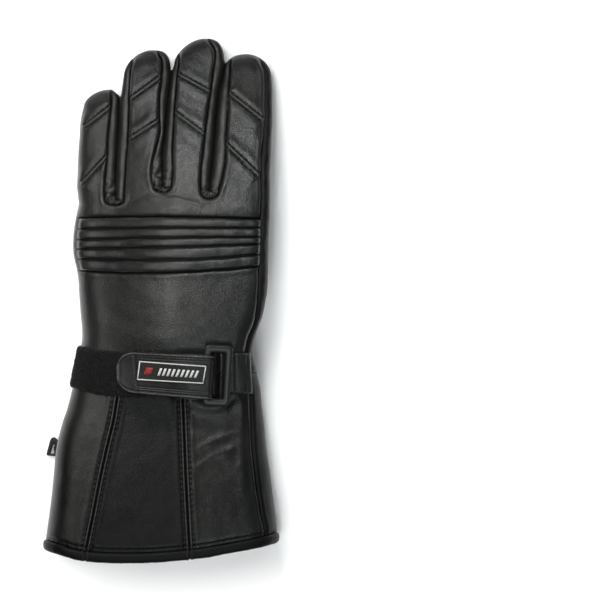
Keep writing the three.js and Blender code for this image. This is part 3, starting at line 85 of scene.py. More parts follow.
# outline of each finger: rows of (y, left, right), then its round tip
FINGERS = {
    "little": {
        "rows": np.array([
            (70.2, -52.4, -28.2), (79.5, -52, -28), (90, -51.6, -27.5), (101.2, -50.8, -26.9),
            (111.1, -50.2, -26.4), (120.4, -48.3, -26.1),
        ]),
        "tip": (-32.8, 130.9), "powers": (1.75, 4),
    },
    "ring": {
        "rows": np.array([
            (70.2, -27.6, 1.3), (79.5, -27.4, 1.2), (90, -27, 1), (101.2, -26.4, 2.1),
            (111.1, -25.9, 3), (120.4, -25.6, 3.8), (130.3, -24.4, 4.8), (139.6, -23.3, 5.8),
        ]),
        "tip": (-6.4, 155.4), "powers": (1.75, 3.4),
    },
    "middle": {
        "rows": np.array([
            (70.2, 1.8, 30.3), (79.5, 1.7, 31.3), (90, 1.5, 32.5), (101.2, 2.6, 33.3),
            (111.1, 3.5, 34), (120.4, 4.3, 34.8), (130.3, 5.3, 36), (139.6, 6.4, 38),
            (146.4, 8.1, 39.1),
        ]),
        "tip": (26.7, 162.6), "powers": (1.75, 2.9),
    },
    "index": {
        "rows": np.array([
            (70.2, 30.8, 67.6), (79.5, 31.8, 67.6), (90, 33, 68.2), (101.2, 33.8, 68.5),
            (111.1, 34.5, 68.9), (120.4, 35.3, 68.9), (130.3, 36.5, 68.9), (139.6, 38.6, 68.2),
        ]),
        "tip": (53.4, 153), "powers": (2.4, 1.85),
    },
}
ORDER = ("little", "ring", "middle", "index")

# closed end of each gap between fingers and the stitched U round it
CROTCHES = {
    "little_ring": {"x": -27.9, "y": 63.6, "drop": 4.1, "widths": (6.2, 4.6)},
    "ring_middle": {"x": 1.5, "y": 70.2, "drop": 2.9, "widths": (5.4, 4.8)},
    "middle_index": {"x": 30.4, "y": 67.8, "drop": 4.6, "widths": (4.6, 4.9)},
}
CROTCH_RADIUS = 0.27

# seams of the finger backs, from the crotch to the tip: (y, x)
SEAMS = {
    "little_left": np.array([
        (60.6, -51.3), (70.2, -52.4), (79.5, -52), (101.2, -50.8), (111.1, -50.2), (120.4, -48.3),
        (124.5, -45.9),
    ]),
    "little_right": np.array([
        (63, -34.1), (70.2, -34.4), (81.3, -33.6), (90, -32.7), (103, -32.2), (111.1, -31.4),
        (119.8, -30.7), (125.6, -30.6), (130.8, -31.4),
    ]),
    "ring_left": np.array([
        (62.7, -23.3), (68.3, -22.9), (78.9, -22.3), (90, -21.7), (102.4, -20.6), (111.1, -20.3),
        (128.5, -20.1), (141.5, -19.4), (150, -17.9),
    ]),
    "ring_right": np.array([
        (70.8, -3.9), (77, -5.5), (81, -5.3), (89.1, -3.7), (100.9, -0.5), (105.5, 0.1),
        (115.4, -0.5), (128.5, -0.3), (140.6, 1), (148.9, 0.6), (154.7, -2.4),
    ]),
    "middle_left": np.array([
        (71.5, 6.3), (77, 7.1), (90, 7.3), (95.6, 7.3), (120.4, 8.2), (134, 9.3), (144, 10.1),
        (153.3, 11),
    ]),
    "middle_right": np.array([
        (67, 25.9), (72, 25.2), (82, 25.6), (94.4, 27.1), (109.2, 28.6), (120.4, 30), (133.4, 32),
        (142.7, 32.8), (149.2, 33.9), (156.4, 33.1), (162.3, 28.9),
    ]),
    "index_left": np.array([
        (67.8, 35.5), (77, 38.5), (89.4, 40.2), (101.2, 40.3), (117.9, 41.4), (126, 41.6),
        (136.5, 42.2), (149.6, 42.6),
    ]),
    "index_right": np.array([
        (-44.5, 54), (-32, 53), (-22, 55.2), (-15, 58.4), (0, 60.6), (20, 61.4), (50, 62.4),
        (62.1, 63), (77, 62.7), (89.4, 63), (101.2, 64.3), (117.9, 65.2), (134, 65.2),
        (142.7, 64.2), (150.6, 61.1),
    ]),
}

# rows of each finger's back: (place, y at the left seam, y at the right seam, share of the tip's round)
FINGER_ROWS = {
    "little": np.array([
        (0, 60.6, 63, 0), (1, 69.4, 76, 0), (3, 71.8, 89.7, 0), (5, 88, 104, 0),
        (7, 106.8, 120.1, 0), (9, 114.5, 126, 0.35), (10, 119.8, 128.8, 0.75),
        (11, 123.3, 130.3, 0.95), (12, 124.5, 130.8, 1),
    ]),
    "ring": np.array([
        (0, 62.7, 70.8, 0), (1, 80, 88, 0), (3, 99.5, 111.7, 0), (5, 112, 125, 0),
        (7, 124.5, 138.4, 0), (9, 138, 147, 0.35), (10, 145, 151.4, 0.75), (11, 148.8, 154, 0.95),
        (12, 150, 154.7, 1),
    ]),
    "middle": np.array([
        (0, 71.5, 67, 0), (1, 92, 82, 0), (3, 117, 102.3, 0), (5, 129, 115.5, 0),
        (7, 141.2, 129.3, 0), (9, 148, 146, 0.35), (10, 151.3, 156, 0.75), (11, 152.9, 161, 0.95),
        (12, 153.3, 162.3, 1),
    ]),
    "index": np.array([
        (0, 67.8, 62.1, 0), (1, 82, 69, 0), (3, 97.7, 79.1, 0), (5, 113, 96, 0),
        (7, 128.9, 112, 0), (9, 140, 134, 0.35), (10, 146, 144.5, 0.75), (11, 148.9, 149.6, 0.95),
        (12, 149.6, 150.6, 1),
    ]),
}

# slanting tucks across the fingers: the ends of the line between their two rows of stitches
TUCKS = (
    ((-31.2, 120.2), (-47.8, 107.4)), ((-33, 89.7), (-49.2, 72.4)),
    ((-0.4, 138.4), (-19.2, 124.6)), ((-1, 111.6), (-19.8, 99.7)),
    ((10.2, 140.4), (31.5, 128.7)), ((8.6, 116.4), (28.7, 101.8)),
    ((42.6, 128.2), (63.6, 111.6)), ((40.3, 97), (60.8, 77.3)),
)
TUCK_PLACES = (3, 7)
TUCK_HALF = 1.25
TUCK_ENDS = (-1.2, 0.4)

# grooves of the knuckle pad: (y at the left end, the middle, the right end)
PAD_GROOVES = np.array([
    (50.6, 51.2, 49.9), (43.8, 44.6, 44.6), (37.3, 38.6, 38.8), (31.6, 32.7, 34.8),
    (25.8, 24.7, 28.1), (18.6, 17.1, 21.2),
])
RIB_HEIGHT = 2.4

# seams of the cuff's back: (y, x)
CUFF_SEAMS = {
    "little": np.array([
        (-44.5, -24.1), (-58.8, -26.6), (-74.3, -29.1), (-89.8, -32.8), (-111.5, -37.5),
        (-133.8, -41.8), (-159.8, -47.1),
    ]),
    "middle": np.array([(-44.5, 12.4), (-60.6, 13.7), (-111.5, 15.8), (-158, 18.3)]),
    "index": np.array([
        (-44.5, 53.8), (-58.8, 55.6), (-74.3, 56.3), (-89.8, 56.9), (-105.3, 58.4), (-130.7, 62),
        (-144.3, 64.9), (-160, 67.5),
    ]),
}

# hem of the cuff: (x, y); its middle level; width and thickness of its rolled binding
HEM = np.array([
    (-75, -147.6), (-62.2, -150.8), (-50.4, -153.9), (-33.8, -155.6), (-6.8, -155.6),
    (24.8, -152.8), (44.1, -149.5), (64.5, -145.8), (75, -143),
])
HEM_LEVEL = -152
BINDING = (6.25, 4.4)
BINDING_FULL = 0.52

# stitches: distance from one to the next, and the share of it that thread covers
STITCH_PITCH = 3.4
STITCH_SHARE = 0.7

# cuff stitches: distance of a row from its seam, and where it starts and ends, in stitches from y = 0
CUFF_ROW = 2.85
CUFF_STITCHES = (-18, -44)


def smooth_step(start, end, value):
    """Smooth rise from 0 at start to 1 at end: t squared times (3 minus 2 t)."""
    t = np.clip((value - start) / (end - start), 0, 1)
    return t * t * (3 - 2 * t)


def mix(a, b, t):
    """Straight blend: a at t = 0, b at t = 1."""
    return a + (b - a) * t


def bell(distance, width):
    """Bell curve: e to the power of minus the square of distance over width."""
    return np.exp(-(distance / width) ** 2)


def beat_of(place, pitch):
    """A wave from 0 at a stitch's end to 1 at its middle: half of 1 minus a cosine."""
    return 0.5 - 0.5 * np.cos(2 * np.pi * place / pitch)


def unit(vectors):
    """Vectors brought to length 1."""
    return vectors / np.linalg.norm(vectors, axis=-1, keepdims=True)


def run_along(line):
    """Lengths along a line of points: the sums of its steps, from 0."""
    return np.concatenate([[0], np.cumsum(np.linalg.norm(np.diff(line, axis=0), axis=1))])


def towards(start, goal, amount):
    """Points moved towards others by an amount, or onto them where they are closer."""
    way = goal - start
    length = np.maximum(np.linalg.norm(way, axis=1), 1e-6)
    return start + way * (np.minimum(amount, length) / length)[:, None]


def quads_of(ids):
    """Quads between the rows and the columns of a grid of point numbers."""
    return np.stack([ids[:-1, :-1], ids[:-1, 1:], ids[1:, 1:], ids[1:, :-1]], -1)


def ring_quads(rows, columns, closed=False):
    """Quads of rows of rings: a row's last point joins its first, and if closed the last row the first."""
    ids = np.arange(rows * columns).reshape(rows, columns)
    return quads_of(np.pad(ids, ((0, int(closed)), (0, 1)), "wrap")).reshape(-1, 4)


def copies(quads, count, size):
    """The same quads for each of many equal sets of points."""
    return (quads[None] + np.arange(count)[:, None, None] * size).reshape(-1, 4)


def along(line, run, place):
    """Points at places of a run along a line, straight between its own points."""
    return np.stack([np.interp(place, run, line[:, k]) for k in range(line.shape[1])], 1)


def curve(table, at, column=1):
    """Smooth curve through rows of a table: cubic pieces, each row's slope set by its neighbours."""
    rows = table[np.argsort(table[:, 0])]
    key = rows[:, 0]
    value = rows[:, column]
    slope = np.empty_like(value)
    slope[1:-1] = (value[2:] - value[:-2]) / (key[2:] - key[:-2])
    slope[0] = (value[1] - value[0]) / (key[1] - key[0])
    slope[-1] = (value[-1] - value[-2]) / (key[-1] - key[-2])
    at = np.clip(np.asarray(at, float), key[0], key[-1])
    i = np.clip(np.searchsorted(key, at, side="right") - 1, 0, len(key) - 2)
    step = key[i + 1] - key[i]
    t = (at - key[i]) / step
    t2 = t * t
    t3 = t2 * t
    start = (2 * t3 - 3 * t2 + 1) * value[i] + (t3 - 2 * t2 + t) * step * slope[i]
    return start + (3 * t2 - 2 * t3) * value[i + 1] + (t3 - t2) * step * slope[i + 1]


def left_edge(y):
    """The little-finger side of the hand's and cuff's outline."""
    return curve(HAND, y, 1)


def right_edge(y):
    """The index side of the hand's and cuff's outline."""
    return curve(HAND, y, 2)


def index_seam(y):
    """Seam between the back and the index side strip."""
    return curve(SEAMS["index_right"], y)


def soft_noise(x, y, size, seed):
    """Smooth random heights, about -1 to 1: random slopes on a turned lattice, blended by quintic steps."""
    chance = np.random.default_rng(seed)
    slope = chance.uniform(0, 2 * np.pi, (64, 64))
    turned = chance.uniform(0.3, 1.2)
    gx = (x * np.cos(turned) + y * np.sin(turned)) / size + 640.37
    gy = (y * np.cos(turned) - x * np.sin(turned)) / size + 640.71
    i = np.floor(gx).astype(int)
    j = np.floor(gy).astype(int)
    u = gx - i
    v = gy - j

    def corner(right, up):
        """Height that one corner of the lattice gives: its slope times the way from it."""
        way = slope[(i + right) % 64, (j + up) % 64]
        return np.cos(way) * (u - right) + np.sin(way) * (v - up)

    s = u ** 3 * (u * (6 * u - 15) + 10)
    t = v ** 3 * (v * (6 * v - 15) + 10)
    return 1.5 * mix(mix(corner(0, 0), corner(1, 0), s), mix(corner(0, 1), corner(1, 1), s), t)


def spread(length, step, start=None, end=None, grow=1.5, hold=(0, 0), fine=0.34):
    """Places from 0 to 1 along a length: even steps, but steps grow from a short one at a marked end.

    Within the held stretch next to an end the steps stay fine.
    """
    def ramp(first, held):
        """Steps from a marked end: each is the last one times the growth, until they are even."""
        sizes = []
        size = first
        while first is not None and size < step:
            sizes.append(size)
            size = size * grow if sum(sizes) > held else min(size * grow, fine)
        return sizes
    before = ramp(start, hold[0])
    after = ramp(end, hold[1])
    rest = length - sum(before) - sum(after)
    count = max(int(round(rest / step)), 1)
    sizes = before + [rest / count] * count + after[::-1]
    places = np.concatenate([[0], np.cumsum(sizes)])
    return places / places[-1]


def nearest_on(path, x, y, block=3000):
    """Nearest point of a line of points: distance, the point, its place in segments, signed normal.

    Each segment gives the foot of the perpendicular, held between its ends; the closest foot wins.
    """
    shape = np.shape(x)
    points = np.stack([np.ravel(x), np.ravel(y)], 1)
    start = path[:-1]
    way = path[1:] - start
    length2 = np.maximum((way ** 2).sum(1), 1e-12)
    found = []
    for first in range(0, len(points), block):
        part = points[first:first + block, None]
        t = np.clip(((part - start) * way).sum(-1) / length2, 0, 1)
        foot = start + t[..., None] * way
        gap = ((part - foot) ** 2).sum(-1)
        k = gap.argmin(1)
        row = np.arange(len(k))
        normal = np.stack([-way[k, 1], way[k, 0]], 1) / np.sqrt(length2[k])[:, None]
        found.append(np.column_stack([
            np.sqrt(gap[row, k]), foot[row, k], k + t[row, k], normal,
        ]))
    table = np.concatenate(found)
    return [column.reshape(shape) for column in table.T]


def finger_side(finger, side):
    """One side of a finger in plan: its straight rows, then a quarter of a superellipse to the tip."""
    rows = finger["rows"]
    column = 1 + side
    power = 2 / finger["powers"][side]
    shoulder_y = rows[-1, 0]
    y = mix(rows[0, 0], shoulder_y, np.arange(44) / 44)
    straight = np.stack([curve(rows, y, column), y], 1)
    angle = np.linspace(0, np.pi / 2, 40)
    across = np.cos(angle).clip(0) ** power
    up = np.sin(angle) ** power
    round_x = mix(finger["tip"][0], rows[-1, column], across)
    round_y = mix(shoulder_y, finger["tip"][1], up)
    return np.concatenate([straight, np.stack([round_x, round_y], 1)])


def whole_outline():
    """The plan outline: up the little-finger edge, round every finger, down the index edge."""
    level = np.linspace(HAND[-1, 0], HAND[0, 0], 150)
    parts = [np.stack([left_edge(level), level], 1)]
    for name, gap in zip(ORDER, (*CROTCHES, None)):
        parts.append(finger_side(FINGERS[name], 0)[:-1])
        parts.append(finger_side(FINGERS[name], 1)[::-1])
        if gap:
            angle = np.linspace(np.pi, 2 * np.pi, 9)
            crotch = CROTCHES[gap]
            x = crotch["x"] + np.cos(angle) * CROTCH_RADIUS
            parts.append(np.stack([x, crotch["y"] + np.sin(angle) * CROTCH_RADIUS], 1))
    parts.append(np.stack([right_edge(level), level], 1)[::-1])
    return np.concatenate(parts)


# the whole outline, and how near a point outside still counts as on it
OUTLINE = whole_outline()
OUTSIDE_REACH = 0.5


def lift(x, y):
    """Height by which the thumb lifts the glove: a product of three smooth steps."""
    return (THUMB_LIFT * smooth_step(*LIFT_ACROSS, x) * smooth_step(*LIFT_FINGERS, y)
            * smooth_step(*LIFT_CUFF, y))


# droop of the fingertips: its depth, the length it takes, and the gaps between fingers
DROOP = 5.4
DROOP_REACH = 30
DROOP_BOUNDS = (-24.9, 5.7, 38.2)


def droop(x, y):
    """How far the back of a finger bends down towards its tip: a square of the way into its end."""
    tops = np.array([FINGERS[finger]["tip"][1] for finger in ORDER])
    top = tops[np.searchsorted(DROOP_BOUNDS, x)]
    return DROOP * (1 - (top - y) / DROOP_REACH).clip(0, 1) ** 2


def skin(x, y, side, on_edge=False):
    """A point of the outer skin and the direction outward from it.

    With q the distance to the outline over the roll radius, the skin stands off its middle plane by
    half the thickness times (1 - (1 - q) ^ n) ^ (1 / n), upwards on side 1 and downwards on side -1.
    """
    x, y, side, on_edge = np.broadcast_arrays(x, y, side, on_edge)
    x = x.astype(float)
    y = y.astype(float)
    gap, foot_x, foot_y, _, normal_x, normal_y = nearest_on(OUTLINE, x, y)
    outside = ((x - foot_x) * normal_x + (y - foot_y) * normal_y > 0) & (gap < OUTSIDE_REACH)
    gap = np.where(outside, 0, gap)
    far = gap > 0.05
    scale = np.where(far, gap, 1)
    normal_x = np.where(far, (foot_x - x) / scale, normal_x)
    normal_y = np.where(far, (foot_y - y) / scale, normal_y)
    half = curve(BODY, y, 1)
    roll = curve(BODY, y, 2)
    share = np.where(on_edge, 0, np.minimum(gap / roll, 1))
    rise = (1 - (1 - share) ** ROUNDNESS) ** (1 / ROUNDNESS)
    rise = np.where(side == 0, 0, rise)
    shown = np.where(side == 0, 0, np.maximum(rise * half, EDGE_LIFT))
    z = half + lift(x, y) + side * shown
    left = left_edge(y)
    right = right_edge(y)
    across = np.minimum(np.abs((2 * x - left - right) / (right - left)), 1)
    z = z + np.where(side > 0, (CROWN * (1 - across ** 2) * smooth_step(80, 45, y) - droop(x, y)) * rise, 0)
    flat = (1 - share) ** (ROUNDNESS - 1) / roll
    up = side * rise ** (ROUNDNESS - 1) / half
    return np.stack([x, y, z], -1), unit(np.stack([normal_x * flat, normal_y * flat, up], -1))


def finger_levels():
    """Row places of a finger's back, closer together at its tucks and towards its tip."""
    base = np.concatenate([np.linspace(0, 1.6, 40)[:-1], np.linspace(1.6, 9, 58)])
    base = base[np.minimum(np.abs(base - TUCK_PLACES[0]), np.abs(base - TUCK_PLACES[1])) > 0.52]
    dense = [place + np.linspace(-0.5, 0.5, 26) for place in TUCK_PLACES]
    tip = 12 - 3 * (1 - np.linspace(0, 1, 34)[1:]) ** 1.9
    return np.unique(np.round(np.concatenate([base, *dense, tip]), 6))


def crotch_turn(gap, left_base, right_base, share):
    """Points of the U below a gap: x follows a cosine, y a power of the sine; share 0 to 1."""
    crotch = CROTCHES[gap]
    angle = np.pi * share
    width = np.where(share < 0.5, *crotch["widths"])
    level = np.where(share < 0.5, left_base[1], right_base[1])
    x = crotch["x"] - np.cos(angle) * width
    y = mix(level, crotch["y"] - crotch["drop"], np.sin(angle).clip(0) ** 0.8)
    return np.stack([x, y], 1)


class Sheet:
    """Grids of outer points and outward directions that share their border points."""

    def __init__(self):
        """An empty sheet."""
        self.points = []
        self.directions = []
        self.wear_and_highlight = []
        self.faces = []
        self.count = 0

    def add(self, points, directions, wear_and_highlight=0.0):
        """Takes points of any grid shape and gives their numbers in the same shape."""
        shape = points.shape[:-1]
        # each point keeps its painted highlight, from 0 to 1
        self.wear_and_highlight.append(np.broadcast_to(wear_and_highlight, shape).ravel())
        self.points.append(points.reshape(-1, 3))
        self.directions.append(directions.reshape(-1, 3))
        first = self.count
        self.count += int(np.prod(shape))
        return np.arange(first, self.count).reshape(shape)

    def weave(self, grid, keep=None):
        """Quads between the rows of a grid, outside up when columns run right and rows run up."""
        quads = quads_of(grid)
        self.faces.append((quads if keep is None else quads[keep]).reshape(-1, 4))

    def wall(self, thickness):
        """Closed wall: the sheet, the same sheet moved in by the thickness, and rims between them."""
        points = np.concatenate(self.points)
        directions = np.concatenate(self.directions)
        quads = np.concatenate(self.faces)
        count = len(points)
        start = quads.reshape(-1)
        end = np.roll(quads, -1, axis=1).reshape(-1)
        open_edge = ~np.isin(start * count + end, end * count + start)
        start = start[open_edge]
        end = end[open_edge]
        rims = np.stack([end, start, start + count, end + count], 1)
        inner = quads[:, ::-1] + count
        every = np.concatenate([points, points - directions * thickness])
        # painted highlight: the sheet's own values, none on the inner side
        wear_and_highlight = np.concatenate(self.wear_and_highlight)
        return every, np.concatenate([quads, inner, rims]), np.concatenate([wear_and_highlight, 0 * wear_and_highlight])


def mesh_object(name, points, quads, wear_and_highlight, material, slot, replaced=(), weld=0.004, outward=False):
    """A smooth mesh from points in millimetres and quads; close points are merged, so poles close.

    The painted highlight of each point, from 0 to 1, becomes an attribute that the leather reads and shows
    paler.
    """
    mesh = bpy.data.meshes.new(name)
    mesh.vertices.add(len(points))
    mesh.vertices.foreach_set("co", (np.asarray(points) * MM).astype(np.float32).ravel())
    mesh.loops.add(quads.size)
    mesh.loops.foreach_set("vertex_index", quads.astype(np.int32).ravel())
    mesh.polygons.add(len(quads))
    mesh.polygons.foreach_set("loop_start", np.arange(0, quads.size, 4, dtype=np.int32))
    mesh.update(calc_edges=True)
    if wear_and_highlight is not None:
        painted_highlight = mesh.attributes.new("painted_highlight", "FLOAT", "POINT")
        painted_highlight.data.foreach_set("value", np.asarray(wear_and_highlight, np.float32))
    if weld or outward:
        shape = bmesh.new()
        shape.from_mesh(mesh)
        if weld:
            bmesh.ops.remove_doubles(shape, verts=shape.verts, dist=weld * MM)
        if outward:
            bmesh.ops.recalc_face_normals(shape, faces=shape.faces)
        shape.to_mesh(mesh)
        shape.free()
    mesh.validate()
    mesh.shade_smooth()
    mesh.materials.append(material)
    piece = bpy.data.objects.new(name, mesh)
    bpy.context.scene.collection.objects.link(piece)
    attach(piece, "root")
    if replaced:
        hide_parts(*replaced)
    return piece


def walled(name, points, directions, thickness, material, slot, wear_and_highlight=0.0, flip=False, **options):
    """A piece that stands for the CAD node of its name: one grid of outer points made a closed wall.

    The grid is flipped where its columns run left, or its rows down.
    """
    sheet = Sheet()
    ids = sheet.add(points, directions, wear_and_highlight)
    sheet.weave(ids[:, ::-1] if flip else ids)
    return mesh_object(f"glove_{name}", *sheet.wall(thickness), material, slot, [name], **options)


# paths of the side strips in plan, and where each finger's seams lie on them
LEVELS = finger_levels()
TURN = np.linspace(0, 1, 45)[1:-1]


def seam_points(finger, side):
    """Seam points at a finger's rows; the last one is moved to the nearest point of the outline."""
    rows = FINGER_ROWS[finger]
    y = curve(rows, LEVELS, 1 + side)
    points = np.stack([curve(SEAMS[f"{finger}_{'left' if side == 0 else 'right'}"], y), y], 1)
    _, foot_x, foot_y, place, _, _ = nearest_on(OUTLINE, points[-1:, 0], points[-1:, 1])
    ease = smooth_step(10.5, 12, LEVELS)[:, None]
    shift = np.array([foot_x[0], foot_y[0]]) - points[-1]
    return points + shift * ease, place[0]


def side_of_path(path):
    """Unit vectors square to a path that leads from a tip down to the crotch, away from its strip."""
    way = np.gradient(path, axis=0)
    way /= np.maximum(np.linalg.norm(way, axis=1, keepdims=True), 1e-9)
    return np.stack([way[:, 1], -way[:, 0]], 1)


def strip_path(path, inset, parts, wrist_edge=None):
    """A side strip's back seam, outline edge and palm seam, with the directions square to each.

    The palm seam lies on the way from the outline to the back seam, at its own distance.
    """
    _, foot_x, foot_y, _, _, _ = nearest_on(OUTLINE, path[:, 0], path[:, 1])
    edge = np.stack([foot_x, foot_y], 1)
    if wrist_edge is not None:
        edge[-len(wrist_edge):] = wrist_edge
    palm = towards(edge, path, inset)
    return {"back": path, "edge": edge, "palm": palm, "parts": parts,
            "out": side_of_path(path), "palm_out": side_of_path(palm)}


INDEX_BASE = 61.6
PATHS = {}
TIP_PLACES = {}
SEAM_POINTS = {}
for finger_name in ORDER:
    for side_index in (0, 1):
        found_points, found_place = seam_points(finger_name, side_index)
        SEAM_POINTS[finger_name, side_index] = found_points
        TIP_PLACES[finger_name, side_index] = found_place
for gap_name in CROTCHES:
    left_finger, right_finger = gap_name.split("_")
    down = SEAM_POINTS[left_finger, 1][::-1]
    up_again = SEAM_POINTS[right_finger, 0]
    turn = crotch_turn(gap_name, down[-1], up_again[0], TURN)
    lengths = (len(down), len(turn), len(up_again))
    lean = np.repeat([-PALM_INSET_LEAN, 0, PALM_INSET_LEAN], lengths)
    PATHS[gap_name] = strip_path(np.concatenate([down, turn, up_again]), PALM_INSET + lean, lengths[:2])
wrist_levels = np.linspace(INDEX_BASE, WRIST_Y + SEAM_GAP, 150)
wrist_seam = np.stack([index_seam(wrist_levels), wrist_levels], 1)
PATHS["index_side"] = strip_path(
    np.concatenate([SEAM_POINTS["index", 1][::-1], wrist_seam]), PALM_INSET - PALM_INSET_LEAN,
    (len(LEVELS), len(wrist_levels)), np.stack([right_edge(wrist_levels), wrist_levels], 1))


def off_seam(name, side):
    """A strip's seam on the back or the palm, moved away from the strip by the seam's gap."""
    strip = PATHS[name]
    if side > 0:
        return strip["back"] + strip["out"] * SEAM_GAP
    return strip["palm"] + strip["palm_out"] * PALM_GAP


def seam_column(finger, side_of_finger, side):
    """Plan points of a finger panel's border at its rows, off the seam by its gap; the tip stays put."""
    points = SEAM_POINTS[finger, side_of_finger]
    if finger == "little" and side_of_finger == 0:
        _, x, y, _, _, _ = nearest_on(OUTLINE, points[:, 0], points[:, 1])
        return np.stack([x, y], 1)
    if side_of_finger == 1:
        name = next((gap for gap in CROTCHES if gap.startswith(finger)), "index_side")
        border = off_seam(name, side)[:PATHS[name]["parts"][0]][::-1]
    else:
        name = next(gap for gap in CROTCHES if gap.endswith(finger))
        border = off_seam(name, side)[sum(PATHS[name]["parts"]):]
    return np.concatenate([border[:-1], points[-1:]])


def finger_grid(finger, side, columns):
    """Plan grid of a finger panel: straight rows between its seams, bent to the round of the tip."""
    left = seam_column(finger, 0, side)[:, None]
    right = seam_column(finger, 1, side)[:, None]
    ease = curve(FINGER_ROWS[finger], LEVELS, 3).clip(0, 1)[:, None, None]
    place = mix(TIP_PLACES[finger, 0], TIP_PLACES[finger, 1], columns)
    tip = along(OUTLINE, np.arange(len(OUTLINE)), place)
    chord = mix(SEAM_POINTS[finger, 0][-1], SEAM_POINTS[finger, 1][-1], columns[:, None])
    return mix(left, right, columns[None, :, None]) + ease * (tip - chord)[None]


def comb_sheet(side, bottom_line, count, columns, height, wear_and_highlight):
    """Four finger panels on one hand panel, whose rows run from a bottom line up to the crotches."""
    sheet = Sheet()
    grids = {finger: finger_grid(finger, side, columns[finger]) for finger in ORDER}
    line = []
    starts = {}
    for finger, gap in zip(ORDER, (*CROTCHES, None)):
        starts[finger] = sum(len(part) for part in line)
        line.append(grids[finger][0])
        if gap:
            first, length = PATHS[gap]["parts"]
            line.append(off_seam(gap, side)[first:first + length])
    crotch = np.concatenate(line)
    share = (crotch[:, 0] - crotch[0, 0]) / (crotch[-1, 0] - crotch[0, 0])
    t = np.linspace(0, 1, count + 1)[:, None]
    y = mix(bottom_line(share)[None], crotch[None, :, 1], t)
    straight = mix(left_edge(y), right_border(y, side), share[None])
    fit = crotch[None, :, 0] - mix(left_edge(crotch[:, 1]), right_border(crotch[:, 1], side), share)
    x = straight + fit * t ** 3
    on_edge = np.zeros(x.shape, bool)
    on_edge[:, 0] = True
    points, directions = place_on_skin(x, y, side, on_edge, height)
    hand = sheet.add(points, directions, wear_and_highlight(x, y))
    for finger in ORDER:
        plan = grids[finger]
        on_edge = np.zeros(plan.shape[:2], bool)
        on_edge[-1] = True
        on_edge[:, 0] |= finger == "little"
        points, directions = place_on_skin(plan[..., 0], plan[..., 1], side, on_edge, height)
        ids = sheet.add(points[1:], directions[1:], wear_and_highlight(plan[1:, :, 0], plan[1:, :, 1]))
        base = hand[-1, starts[finger]:starts[finger] + plan.shape[1]]
        full = np.concatenate([base[None], ids])
        sheet.weave(full if side > 0 else full[:, ::-1])
    return sheet, hand, x, y


def right_border(y, side):
    """The hand panel's border next to the index side strip."""
    if side > 0:
        return index_seam(y) - SEAM_GAP
    return right_edge(y) - (PALM_INSET - PALM_INSET_LEAN) - PALM_GAP


def place_on_skin(x, y, side, on_edge, height):
    """Skin points moved outward by a height function of the plan place and the distance to the edge."""
    points, directions = skin(x, y, side, on_edge)
    calm = smooth_step(0, 3, np.where(on_edge, 0, nearest_on(OUTLINE, x, y)[0]))
    return points + directions * (height(x, y) * calm)[..., None], directions


# relief of the leather
# a seam's dip and the roll beside it
SEAM_DEPTH = 1.15
SEAM_WIDTH = 0.85
ROLL_HEIGHT = 0.3
ROLL_REACH = 2.4
ROLL_WIDTH = 1.3
FOLDS = (
    # height, half width, points: soft ridges and creases of the hand's back and the cuff
    (-0.3, 1.3, ((-23, 60.6), (-16, 62.3), (-9, 65))),
    (-0.26, 1.2, ((7, 65.6), (15, 64.2), (24, 62.6))),
    (0.4, 1.5, ((-7, 63), (1, 62.6), (9, 62.8), (17, 60.8), (26, 58.8))),
    (0.3, 4.5, ((-46, 56), (-30, 54), (-10, 57), (12, 57), (34, 54), (52, 58))),
    (1.5, 3.9, ((10, -57), (20, -63), (29, -66.5), (38, -65), (46, -59))),
    (0.5, 2.4, ((22, -104), (31, -97.5), (44, -92))),
    (0.45, 2.2, ((24, -92), (33, -86.5), (46, -82.5))),
    (-2.3, 2.3, ((37.6, -33), (37.4, -48), (36.9, -61))),
    (0.6, 4.5, ((22, -84), (36, -92), (47, -103))),
    (0.75, 3.4, ((50.5, -62), (50, -85), (50.5, -118))),
    (0.45, 5, ((-18, 8), (-4, 1), (10, -1))),
    (-0.4, 5, ((-30, -8), (-12, -16), (12, -18))),
)
# the lip round the foot of each stitched U
LIP_HEIGHT = 0.75
LIP_REACH = 2.7
LIP_WIDTH = 1.25


def fold_relief(x, y):
    """Sum of folds: each a height times a bell curve of the distance to its line."""
    tall = np.zeros(np.shape(x))
    for height, width, line in FOLDS:
        rows = np.column_stack([np.arange(len(line)), line])
        t = np.linspace(0, len(line) - 1, 25)
        gap = nearest_on(np.stack([curve(rows, t, 1), curve(rows, t, 2)], 1), x, y)[0]
        tall += height * bell(gap, width)
    return tall


def lip_relief(x, y):
    """Raised lip that hugs the foot of each stitched U: a bell curve of the distance to the seam."""
    tall = np.zeros(np.shape(x))
    for name, crotch in CROTCHES.items():
        gap = nearest_on(PATHS[name]["back"], x, y)[0]
        low = smooth_step(crotch["y"] + 8, crotch["y"] - 1, y)
        patchy = 0.55 + 0.6 * soft_noise(x, y, 7, 10)
        tall += LIP_HEIGHT * low * patchy * bell(gap - LIP_REACH, LIP_WIDTH)
    return tall


def dents(x, y):
    """Uneven filling under the leather: three sizes of soft noise."""
    return (0.42 * soft_noise(x, y, 21, 3) + 0.24 * soft_noise(x, y, 9.5, 4)
            + 0.1 * soft_noise(x, y, 4.2, 5))


def seam_relief(gap):
    """Leather turned down into a seam: a narrow dip and a low roll beside it."""
    return ROLL_HEIGHT * bell(gap - ROLL_REACH, ROLL_WIDTH) - SEAM_DEPTH * bell(gap, SEAM_WIDTH)


